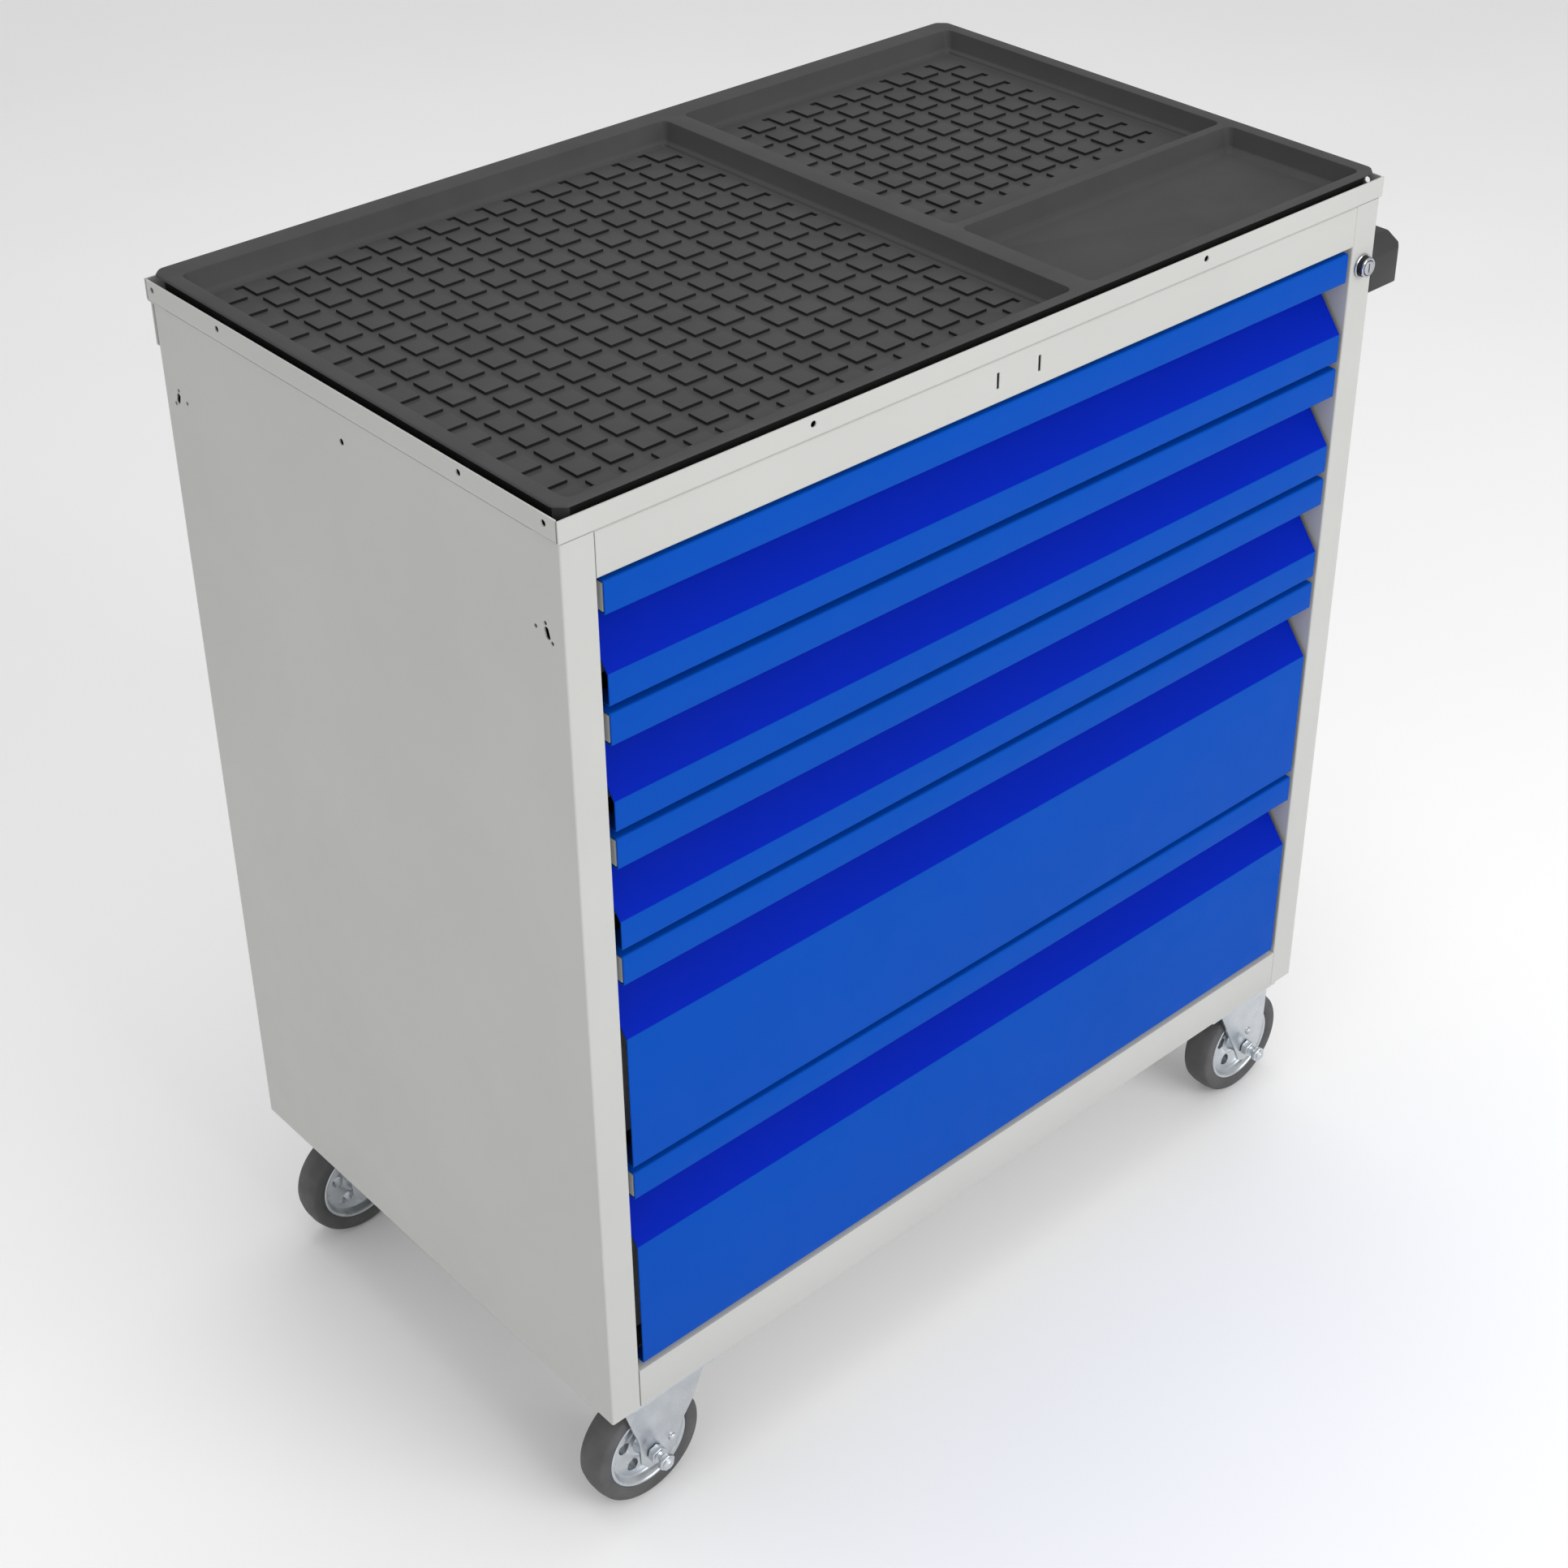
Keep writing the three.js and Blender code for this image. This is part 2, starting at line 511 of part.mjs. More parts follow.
// ---------------------------------------------------------------- key lock
function keyLock() {
  const lock = new THREE.Group();
  lock.position.set(LOCK_X, 0, LOCK_Z);
  group.add(lock);
  const bore = LOCK_PLUG + PLUG_FIT;
  const barrel = turned([
    [bore, -LOCK_PROUD], [LOCK_RADIUS - 2, -LOCK_PROUD], [LOCK_RADIUS, -LOCK_PROUD + 2],
    [LOCK_RADIUS, -GAP], [LOCK_BODY, -GAP], [LOCK_BODY, LOCK_DEPTH], [bore, LOCK_DEPTH],
  ], 20);
  add('lock_barrel', barrel, CHROME, lock);
  const camFront = LOCK_DEPTH + CAM_SPACE;
  const camRear = camFront + CAM_THICK;
  const barFront = camRear + CAM_THICK;
  const barRear = barFront + CAM_THICK;
  const plug = rod(LOCK_PLUG, 'y', [0, 0, 0], -LOCK_PROUD - PLUG_PROUD, camRear, 16);
  const key = block([-0.8, 0.8], [-LOCK_PROUD - 1, KEY_DEPTH - LOCK_PROUD], [-KEY_HALF, KEY_HALF]);
  const cam = block([-CAM_HALF, LOCK_THROW + CAM_HALF], [camFront, camRear], [-CAM_HALF, CAM_HALF]);
  const pin = rod(CAM_PIN, 'y', [LOCK_THROW, 0, 0], camFront, barRear + PLUG_PROUD, 10);
  add('lock_plug', union(plug.subtract(key), cam, pin), CHROME, lock);
  const foot = OPENING_BOTTOM + BAR_FOOT - LOCK_Z;
  const bar = block(BAR_SIDES, [barFront, barRear], [foot, BAR_OVER]);
  const slotHalf = CAM_PIN + 1.8;
  const slot = block(
    [-slotHalf, LOCK_THROW + slotHalf - 0.6], [barFront - 1, barRear + 1], [-slotHalf, slotHalf]);
  const hooks = drawerBottoms().map((z) => block(
    [BAR_SIDES[0] - HOOK_REACH, BAR_SIDES[0] + 1], [barFront, barRear],
    [z + HOOK_LIFT - LOCK_Z, z + HOOK_LIFT + HOOK_HEIGHT - LOCK_Z]));
  add('lock_bar', union(bar.subtract(slot), ...hooks), GALVANISED, lock);
}

// ---------------------------------------------------------------- casters
// Casters are built about their plate's centre, with z = 0 on the floor and the wheel on a Y axle.
const LEG_INNER = WHEEL_WIDTH / 2 + FORK_CLEARANCE;
const LEG_OUTER = LEG_INNER + FORK_SHEET;
const PLATE_TOP = CASTER_HEIGHT - GAP;
const PLATE_BOTTOM = PLATE_TOP - PLATE_THICK;
const RIM_RADIUS = WHEEL_RADIUS - TYRE_THICK;

function wheel(name, parent, x) {
  const spot = new THREE.Group();
  spot.position.set(x, 0, WHEEL_RADIUS);
  parent.add(spot);
  const w = WHEEL_WIDTH / 2;
  const seat = RIM_RADIUS + GAP;
  const wall = WHEEL_RADIUS - TYRE_SHOULDER - 4;
  const crown = w - TYRE_SHOULDER - 3;
  const tyre = turned([
    [seat, -w + 1], [wall, -w], [WHEEL_RADIUS - 2, -w + TYRE_SHOULDER], [WHEEL_RADIUS, -crown],
    [WHEEL_RADIUS, crown], [WHEEL_RADIUS - 2, w - TYRE_SHOULDER], [wall, w], [seat, w - 1],
  ], 36);
  add(`${name}_tyre`, tyre, RUBBER, spot);
  const bore = AXLE_RADIUS + AXLE_FIT;
  const dish = RIM_RADIUS - RIM_FLANGE;
  const rim = turned([
    [bore, -w - 1], [HUB_RADIUS, -w - 1], [HUB_RADIUS + 1, -RIM_WEB], [dish, -RIM_WEB],
    [dish + 1.5, -w + 1], [RIM_RADIUS, -w + 1], [RIM_RADIUS, w - 1], [dish + 1.5, w - 1],
    [dish, RIM_WEB], [HUB_RADIUS + 1, RIM_WEB], [HUB_RADIUS, w + 1], [bore, w + 1],
  ], 28);
  add(`${name}_rim`, rim, ZINC, spot);
}

function axle(name, parent, x) {
  const outer = LEG_OUTER + GAP;
  const at = [x, 0, WHEEL_RADIUS];
  const shank = rod(AXLE_RADIUS, 'y', at, -outer - NUT_HEIGHT - BOLT_END, outer + 2, 12);
  const head = rod(NUT_RADIUS, 'y', at, outer, outer + HEAD_HEIGHT, 6);
  const lockNut = rod(NUT_RADIUS, 'y', at, -outer - NUT_HEIGHT, -outer, 6);
  add(`${name}_axle`, union(shank, head, lockNut), ZINC, parent);
}

function legs(outline, x) {
  const hole = rod(AXLE_RADIUS + LEG_FIT, 'y', [x, 0, WHEEL_RADIUS], -LEG_OUTER - 1, LEG_OUTER + 1, 16);
  const pair = [
    prism(outline, 'y', LEG_INNER, LEG_OUTER), prism(outline, 'y', -LEG_OUTER, -LEG_INNER),
  ];
  return pair.map((leg) => leg.subtract(hole));
}

function mountingPlate() {
  const l = PLATE_LENGTH / 2;
  const w = PLATE_WIDTH / 2;
  const c = PLATE_CORNER;
  const outline = [
    [-l + c, -w], [l - c, -w], [l, -w + c], [l, w - c], [l - c, w], [-l + c, w], [-l, w - c], [-l, -w + c],
  ];
  const holes = [];
  const inset = PLATE_HOLE_INSET;
  for (const x of [inset - l, l - inset]) {
    for (const y of [inset - w, w - inset]) {
      holes.push(rod(PLATE_HOLE, 'z', [x, y, 0], PLATE_BOTTOM - 1, PLATE_TOP + 1, 10));
    }
  }
  return without(prism(outline, 'z', PLATE_BOTTOM, PLATE_TOP), holes);
}

function rigidCaster(name, x, y) {
  const caster = new THREE.Group();
  caster.position.set(x, y, 0);
  group.add(caster);
  const half = PLATE_LENGTH / 2 - 2;
  const foot = RIGID_LEG.map(([u, up]) => [u, WHEEL_RADIUS + up]);
  const ends = [RIGID_OFFSET - half, RIGID_OFFSET + half];
  const outline = [[ends[1], PLATE_BOTTOM + 1], ...foot, [ends[0], PLATE_BOTTOM + 1]];
  const plate = mountingPlate().translate(RIGID_OFFSET, 0, 0);
  const bracket = union(plate, ...legs(outline, 0));
  add(`${name}_bracket`, bracket, ZINC, caster);
  axle(name, caster, 0);
  wheel(name, caster, 0);
}

function swivelCaster(name, x, y) {
  const caster = new THREE.Group();
  caster.position.set(x, y, 0);
  group.add(caster);
  const seat = PLATE_BOTTOM - RACE_HEIGHT;
  const crown = seat - GAP;
  const under = crown - CROWN_SHEET;
  const boss = rod(RACE_RADIUS - 3, 'z', [0, 0, 0], seat, PLATE_BOTTOM + 1, 24);
  const kingpinHole = rod(KINGPIN + LEG_FIT, 'z', [0, 0, 0], seat - 1, PLATE_TOP + 1, 12);
  add(`${name}_plate`, without(mountingPlate().add(boss), [kingpinHole]), ZINC, caster);
  const disc = rod(RACE_RADIUS, 'z', [0, 0, 0], under, crown, 28);
  const kingpin = rod(KINGPIN, 'z', [0, 0, 0], crown - 1, PLATE_TOP - 1, 12);
  const ends = [-SWIVEL_FRONT, TRAIL + SWIVEL_REAR];
  const bridge = block(ends, [-LEG_OUTER, LEG_OUTER], [under, crown - 1]);
  const foot = SWIVEL_LEG.map(([u, up]) => [TRAIL + u, WHEEL_RADIUS + up]);
  const outline = [[ends[0], crown - 1], [ends[1], crown - 1], ...foot];
  const fork = union(disc, kingpin, bridge, ...legs(outline, TRAIL));
  add(`${name}_fork`, fork, ZINC, caster);
  axle(name, caster, TRAIL);
  wheel(name, caster, TRAIL);
}

// ---------------------------------------------------------------- assembly
sidePanel('side_panel_left', -1);
sidePanel('side_panel_right', 1);
topRail();
floorPan();
backPanel();
rearTopRail();
worktopPan();
toolTray();
drawers();
pushHandle();
keyLock();
rigidCaster('caster_front_left', LEFT + FIXED_INSET_X, CASTER_INSET_Y);
rigidCaster('caster_rear_left', LEFT + FIXED_INSET_X, DEPTH - CASTER_INSET_Y);
swivelCaster('caster_front_right', RIGHT - SWIVEL_INSET_X, CASTER_INSET_Y);
swivelCaster('caster_rear_right', RIGHT - SWIVEL_INSET_X, DEPTH - CASTER_INSET_Y);

// The origin is on the floor, at the middle of the whole outline.
const outline = new THREE.Box3().setFromObject(group);
const part = new THREE.Group();
group.position.set(-(outline.min.x + outline.max.x) / 2, -(outline.min.y + outline.max.y) / 2, 0);
part.add(group);

export default part;
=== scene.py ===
"""Looks of a mobile tool cabinet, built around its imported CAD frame. Blender 4.5, metres, +Z up."""
import json
import math

import bmesh
import bpy
from mathutils import Matrix, Quaternion, Vector

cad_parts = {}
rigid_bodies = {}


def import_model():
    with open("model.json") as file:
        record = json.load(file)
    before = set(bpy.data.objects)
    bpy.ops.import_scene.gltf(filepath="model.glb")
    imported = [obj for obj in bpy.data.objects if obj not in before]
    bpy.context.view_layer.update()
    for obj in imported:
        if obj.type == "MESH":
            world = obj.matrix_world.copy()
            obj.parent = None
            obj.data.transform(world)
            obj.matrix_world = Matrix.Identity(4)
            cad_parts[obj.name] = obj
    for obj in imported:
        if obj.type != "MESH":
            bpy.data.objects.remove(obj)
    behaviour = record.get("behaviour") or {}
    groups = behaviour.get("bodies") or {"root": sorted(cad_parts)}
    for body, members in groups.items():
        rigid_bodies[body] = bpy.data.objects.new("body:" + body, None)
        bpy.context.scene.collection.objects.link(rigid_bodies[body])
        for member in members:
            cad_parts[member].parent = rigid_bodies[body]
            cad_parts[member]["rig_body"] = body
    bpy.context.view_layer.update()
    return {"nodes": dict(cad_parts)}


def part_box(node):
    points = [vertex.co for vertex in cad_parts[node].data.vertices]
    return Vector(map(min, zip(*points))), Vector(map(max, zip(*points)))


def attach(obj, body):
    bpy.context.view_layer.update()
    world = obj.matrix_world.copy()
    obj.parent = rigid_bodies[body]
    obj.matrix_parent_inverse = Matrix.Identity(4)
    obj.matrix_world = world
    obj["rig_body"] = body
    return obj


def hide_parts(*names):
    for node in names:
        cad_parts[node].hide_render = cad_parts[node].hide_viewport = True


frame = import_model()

MM = 0.001
SHEET = 1.2 * MM
BEND = 0.9 * MM          # inside radius of a bend in the sheet
LIP_ROUND = 0.2 * MM     # rounding of a sheet's cut edges
MERGE = 1e-6             # points closer than this are one
CUT_REACH = 5 * MM       # how far a cutter reaches to each side of a sheet

# The cabinet's own edges, read from the frame.
panel_low, panel_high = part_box("side_panel_left")
LEFT, FRONT, BASE = panel_low
REAR, BODY_TOP = panel_high.y, panel_high.z
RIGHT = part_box("side_panel_right")[1].x
POST = panel_high.x - LEFT
OPENING_LEFT = LEFT + POST
OPENING_RIGHT = RIGHT - POST
TRAY_LOW, TRAY_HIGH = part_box("tool_tray")
PAN_LOW, PAN_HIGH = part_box("worktop_pan")
DRAWERS = range(1, 6)
CASTERS = ("front_left", "rear_left", "front_right", "rear_right")


# ---------------------------------------------------------------- materials
def new_material(name, color, roughness, metallic=0.0):
    made = bpy.data.materials.new(name)
    made.use_nodes = True
    shader = made.node_tree.nodes["Principled BSDF"]
    shader.inputs["Base Color"].default_value = (*color, 1)
    shader.inputs["Roughness"].default_value = roughness
    shader.inputs["Metallic"].default_value = metallic
    return made, shader


def node(made, kind, **settings):
    added = made.node_tree.nodes.new(kind)
    for key, value in settings.items():
        if key in added.inputs:
            added.inputs[key].default_value = value
        else:
            setattr(added, key, value)
    return added


def noise(made, scale, detail=3.0, stretch=(1, 1, 1)):
    link = made.node_tree.links.new
    place = node(made, "ShaderNodeTexCoord")
    mapping = node(made, "ShaderNodeMapping")
    mapping.inputs["Scale"].default_value = stretch
    link(place.outputs["Object"], mapping.inputs["Vector"])
    texture = node(made, "ShaderNodeTexNoise", Scale=scale, Detail=detail)
    link(mapping.outputs["Vector"], texture.inputs["Vector"])
    return texture.outputs["Fac"]


def spread(made, factor, low, high):
    """A number that follows factor, from low to high."""
    change = node(made, "ShaderNodeMapRange")
    change.inputs["From Min"].default_value = 0.3
    change.inputs["From Max"].default_value = 0.7
    change.inputs["To Min"].default_value = low
    change.inputs["To Max"].default_value = high
    made.node_tree.links.new(factor, change.inputs["Value"])
    return change.outputs["Result"]


def vary_color(made, shader, factor, low, high):
    ramp = node(made, "ShaderNodeValToRGB")
    ramp.color_ramp.elements[0].position = 0.3
    ramp.color_ramp.elements[1].position = 0.7
    ramp.color_ramp.elements[0].color = (*low, 1)
    ramp.color_ramp.elements[1].color = (*high, 1)
    made.node_tree.links.new(factor, ramp.inputs["Fac"])
    made.node_tree.links.new(ramp.outputs["Color"], shader.inputs["Base Color"])


def add_bump(made, shader, height, distance, strength=1.0):
    bump = node(made, "ShaderNodeBump")
    bump.inputs["Strength"].default_value = strength
    bump.inputs["Distance"].default_value = distance
    made.node_tree.links.new(height, bump.inputs["Height"])
    made.node_tree.links.new(bump.outputs["Normal"], shader.inputs["Normal"])


def shaded(color, amount):
    return tuple(min(1.0, c * amount) for c in color)


def powder_coat(name, color, roughness, sheen, grain=0.03):
    """Baked powder paint: a fine orange peel and a barely uneven tone."""
    made, shader = new_material(name, color, roughness)
    shader.inputs["Specular IOR Level"].default_value = sheen
    vary_color(made, shader, noise(made, 7, 4), shaded(color, 0.975), shaded(color, 1.02))
    add_bump(made, shader, noise(made, 620, 2), grain * MM)
    gloss = spread(made, noise(made, 40, 3), roughness - 0.04, roughness + 0.05)
    made.node_tree.links.new(gloss, shader.inputs["Roughness"])
    return made


def moulded_plastic(name, color, roughness, grain=0.05):
    """Injection-moulded plastic with an eroded grain, dulled unevenly by use."""
    made, shader = new_material(name, color, roughness)
    shader.inputs["Specular IOR Level"].default_value = 0.3
    vary_color(made, shader, noise(made, 16, 5), shaded(color, 0.93), shaded(color, 1.06))
    cells = node(made, "ShaderNodeTexVoronoi", Scale=900.0)
    place = node(made, "ShaderNodeTexCoord")
    made.node_tree.links.new(place.outputs["Object"], cells.inputs["Vector"])
    add_bump(made, shader, cells.outputs["Distance"], grain * MM, 0.6)
    gloss = spread(made, noise(made, 28, 4), roughness - 0.05, roughness + 0.07)
    made.node_tree.links.new(gloss, shader.inputs["Roughness"])
    return made


def plated(name, color, roughness, stretch=(1, 1, 1), scale=180):
    """Zinc or chrome plate: a cloudy tone and fine marks along the way it was drawn."""
    made, shader = new_material(name, color, roughness, 1.0)
    vary_color(made, shader, noise(made, 60, 4), shaded(color, 0.9), shaded(color, 1.06))
    add_bump(made, shader, noise(made, scale, 4, stretch), 0.02 * MM, 0.5)
    gloss = spread(made, noise(made, 90, 3), max(0.04, roughness - 0.06), roughness + 0.1)
    made.node_tree.links.new(gloss, shader.inputs["Roughness"])
    return made


def tyre_rubber():
    color = (0.075, 0.075, 0.077)
    made, shader = new_material("tyre_rubber", color, 0.72)
    vary_color(made, shader, noise(made, 45, 6), shaded(color, 0.8), shaded(color, 1.25))
    add_bump(made, shader, noise(made, 1500, 3), 0.06 * MM)
    gloss = spread(made, noise(made, 60, 4), 0.62, 0.84)
    made.node_tree.links.new(gloss, shader.inputs["Roughness"])
    return made


PAINT = powder_coat("cabinet_paint", (0.485, 0.49, 0.47), 0.5, 0.25)
BLUE = powder_coat("drawer_paint", (0.0006, 0.064, 0.40), 0.5, 0.04)
# A deeper blue for the pocket's front-facing faces: painted shade under the strip's overhang.
POCKET_SHADE_BLUE = powder_coat("pocket_painted_shade", (0.0001, 0.0145, 0.38), 0.55, 0.03)
BOX_PAINT = powder_coat("drawer_box_paint", (0.45, 0.45, 0.43), 0.5, 0.25)
TRAY = moulded_plastic("tray_plastic", (0.044, 0.044, 0.044), 0.62)
# Near-black plastic for the groove walls and the skirt under the rim: painted shade in the grooves and under
# the rim's overhang.
TRAY_PAINTED_SHADE = moulded_plastic("tray_painted_shade_plastic", (0.006, 0.006, 0.006), 0.8)
GRIP = moulded_plastic("handle_plastic", (0.030, 0.030, 0.031), 0.5)
# Near-black on the lock barrel's side: a painted dark reflection of the chrome barrel.
LOCK_REFLECTION_BLACK = moulded_plastic("lock_sleeve_painted_reflection", (0.008, 0.008, 0.008), 0.4)
ZINC = plated("caster_zinc", (0.60, 0.63, 0.66), 0.3)
SLIDE = plated("slide_zinc", (0.62, 0.63, 0.64), 0.34, (1, 0.04, 1), 400)
CHROME = plated("lock_chrome", (0.47, 0.48, 0.51), 0.16)
RUBBER = tyre_rubber()


# ---------------------------------------------------------------- mesh helpers
def finish_mesh(name, verts, faces, look, body, stands_for=(), smooth=35):
    """Makes the object, closes its surface and says what it rides on and stands for."""
    mesh = bpy.data.meshes.new(name)
    mesh.from_pydata([tuple(v) for v in verts], [], faces)
    made = bmesh.new()
    made.from_mesh(mesh)
    bmesh.ops.remove_doubles(made, verts=made.verts, dist=MERGE)
    bmesh.ops.recalc_face_normals(made, faces=made.faces)
    made.to_mesh(mesh)
    made.free()
    piece = bpy.data.objects.new(name, mesh)
    bpy.context.scene.collection.objects.link(piece)
    for item in (look if isinstance(look, (list, tuple)) else [look]):
        mesh.materials.append(item)
    shade(piece, smooth)
    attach(piece, body)
    if stands_for:
        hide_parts(*stands_for)
    return piece


def shade(piece, smooth=35):
    piece.data.shade_smooth()
    piece.data.set_sharp_from_angle(angle=math.radians(smooth))


def apply_all(piece):
    """Bakes the piece's modifiers into its mesh."""
    graph = bpy.context.evaluated_depsgraph_get()
    made = bpy.data.meshes.new_from_object(piece.evaluated_get(graph))
    old = piece.data
    piece.modifiers.clear()
    piece.data = made
    bpy.data.meshes.remove(old)


def soften(piece, width, segments=2, angle=50):
    """Rounds the edges that are still sharp."""
    bevel = piece.modifiers.new("soft edges", "BEVEL")
    bevel.width = width
    bevel.segments = segments
    bevel.limit_method = "ANGLE"
    bevel.angle_limit = math.radians(angle)
    bevel.use_clamp_overlap = True
    bevel.harden_normals = False
    apply_all(piece)
    shade(piece, 40)


def cut(piece, cutters):
    """Takes the cutters, which are (verts, faces), out of the piece."""
    verts = []
    faces = []
    for more_verts, more_faces in cutters:
        start = len(verts)
        verts += more_verts
        faces += [[i + start for i in face] for face in more_faces]
    mesh = bpy.data.meshes.new("cutter")
    mesh.from_pydata([tuple(v) for v in verts], [], faces)
    made = bmesh.new()
    made.from_mesh(mesh)
    bmesh.ops.recalc_face_normals(made, faces=made.faces)
    made.to_mesh(mesh)
    made.free()
    tool = bpy.data.objects.new("cutter", mesh)
    bpy.context.scene.collection.objects.link(tool)
    boolean = piece.modifiers.new("holes", "BOOLEAN")
    boolean.operation = "DIFFERENCE"
    boolean.solver = "EXACT"
    boolean.object = tool
    apply_all(piece)
    bpy.data.objects.remove(tool)
    shade(piece, 35)


def box_solid(low, high):
    xs, ys, zs = zip(low, high)
    verts = [Vector((x, y, z)) for z in zs for y in ys for x in xs]
    faces = [(0, 2, 3, 1), (4, 5, 7, 6), (0, 1, 5, 4), (2, 6, 7, 3), (0, 4, 6, 2), (1, 3, 7, 5)]
    return verts, faces


def swap(u, v, w, axis):
    """The point at w along the axis, with u and v as the other two coordinates in order."""
    return {"x": (w, u, v), "y": (u, w, v), "z": (u, v, w)}[axis]


def rod_solid(center, radius, axis, start, end, segments=20):
    u, v = [c for c, name in zip(center, "xyz") if name != axis]
    verts = []
    for w in (start, end):
        for i in range(segments):
            turn = 2 * math.pi * i / segments
            verts.append(swap(u + radius * math.cos(turn), v + radius * math.sin(turn), w, axis))
    ring = range(segments)
    faces = [[i, (i + 1) % segments, segments + (i + 1) % segments, segments + i] for i in ring]
    return verts, faces + [list(ring), [segments + i for i in reversed(ring)]]


def offset_path(path, thickness):
    normals = []
    for a, b in zip(path, path[1:]):
        run = (Vector(b) - Vector(a)).normalized()
        normals.append(Vector((run.y, -run.x)))
    moved = []
    for i, point in enumerate(path):
        before = normals[max(0, i - 1)]
        after = normals[min(len(normals) - 1, i)]
        mitre = (before + after).normalized()
        moved.append(Vector(point) + mitre * (thickness / mitre.dot(after)))
    return moved


def rounded_path(path, inner, outer, steps=5):
    """The path with each corner turned into an arc: outer for a right turn, inner for a left one."""
    points = [Vector(path[0])]
    for a, b, c in zip(path, path[1:], path[2:]):
        a, b, c = Vector(a), Vector(b), Vector(c)
        into = (b - a).normalized()
        away = (c - b).normalized()
        turn = into.cross(away)
        angle = into.angle(away)
        radius = outer if turn < 0 else inner
        reach = radius * math.tan(angle / 2)
        first = b - into * reach
        side = Vector((into.y, -into.x)) * (radius if turn < 0 else -radius)
        center = first + side
        for k in range(steps + 1):
            swing = angle * k / steps * (-1 if turn < 0 else 1)
            points.append(center + Matrix.Rotation(swing, 2) @ -side)
    return points + [Vector(path[-1])]


def folded(name, path, axis, start, end, look, body, stands_for=(), bend=BEND, cuts=()):
    """A bent sheet, with its thickness to the right of its path, run along one axis."""
    near = rounded_path(path, bend, bend + SHEET)
    far = rounded_path(offset_path(path, SHEET), bend + SHEET, bend)
    verts, faces = sheet_solid(near, far, axis, start, end)
    piece = finish_mesh(name, verts, faces, look, body, stands_for)
    if cuts:
        cut(piece, cuts)
    soften(piece, LIP_ROUND, 1, 60)
    return piece


def sheet_solid(near, far, axis, start, end):
    """The space between two matching lines, run along one axis."""
    count = len(near)
    verts = [swap(*point, w, axis) for w in (start, end) for side in (near, far) for point in side]
    faces = []
    for i in range(count - 1):
        a, b = i, count + i
        faces.append([a, a + 1, 2 * count + a + 1, 2 * count + a])
        faces.append([b, b + 1, 2 * count + b + 1, 2 * count + b])
        faces.append([a, a + 1, b + 1, b])
        faces.append([2 * count + a, 2 * count + a + 1, 2 * count + b + 1, 2 * count + b])
    for i in (0, count - 1):
        faces.append([i, count + i, 3 * count + i, 2 * count + i])
    return verts, faces


def profile(outline, start=0.0):
    """A turned outline given in millimetres, with its second number counted from start."""
    return [(radius * MM, start + y * MM) for radius, y in outline]


def mirrored_profile(outline):
    """The outline and its mirror image, as one loop, in metres."""
    return profile(outline + [(radius, -y) for radius, y in reversed(outline)])


def lathe(name, outline, center, look, body, stands_for=(), segments=96, smooth=32):
    """A ring turned about an axle along Y. The outline is [radius, y], and closes on itself."""
    verts = []
    faces = []
    count = len(outline)
    for i in range(segments):
        turn = 2 * math.pi * i / segments
        for radius, y in outline:
            verts.append(center + Vector((radius * math.cos(turn), y, radius * math.sin(turn))))
        for k in range(count):
            nxt = ((i + 1) % segments) * count
            faces.append([i * count + k, i * count + (k + 1) % count, nxt + (k + 1) % count, nxt + k])
    return finish_mesh(name, verts, faces, look, body, stands_for, smooth)


def rounded_outline(points, radius, steps=4):
    """A closed outline with its corners rounded, each by at most what its sides allow."""
    made = []
    count = len(points)
    for i in range(count):
        a, b, c = (Vector(points[(i + k) % count]) for k in (-1, 0, 1))
        into, away = b - a, c - b
        angle = into.angle(away)
        if angle < 0.02:
            made.append(b)
            continue
        reach = min(radius * math.tan(angle / 2), into.length * 0.48, away.length * 0.48)
        r = reach / math.tan(angle / 2)
        into.normalize()
        away.normalize()
        turn = 1 if into.cross(away) > 0 else -1
        first = b - into * reach
        side = Vector((-into.y, into.x)) * r * turn
        for k in range(steps + 1):
            made.append(first + side + Matrix.Rotation(turn * angle * k / steps, 2) @ -side)
    return made


def plate_solid(outline, axis, start, end):
    """A flat outline given a thickness along one axis."""
    count = len(outline)
    verts = [swap(*point, w, axis) for w in (start, end) for point in outline]
    ring = range(count)
    faces = [[i, (i + 1) % count, count + (i + 1) % count, count + i] for i in ring]
    return verts, faces + [list(ring), [count + i for i in reversed(ring)]]


def refined(source, look, width, segments=2, angle=40):
    """A CAD node's own shape with its edges rounded."""
    node_object = frame["nodes"][source]
    made = bmesh.new()
    made.from_mesh(node_object.data)
    bmesh.ops.remove_doubles(made, verts=made.verts, dist=MERGE)
    bmesh.ops.dissolve_limit(made, angle_limit=math.radians(0.6), verts=made.verts, edges=made.edges)
    mesh = bpy.data.meshes.new(source + "_shown")
    made.to_mesh(mesh)
    made.free()
    mesh.materials.clear()
    mesh.materials.append(look)
    piece = bpy.data.objects.new(source + "_shown", mesh)
    bpy.context.scene.collection.objects.link(piece)
    soften(piece, width, segments, angle)
    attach(piece, node_object["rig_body"])
    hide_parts(source)


# ---------------------------------------------------------------- cabinet
FIXING_Z = BASE + 675 * MM
FIXING_Y = 17.6 * MM
LOCK_HOLE = 8.4 * MM
PIN_HOLES = ((11.6 * MM, 0.2 * MM), (1.4 * MM, 6.6 * MM), (-4.6 * MM, -5.4 * MM))


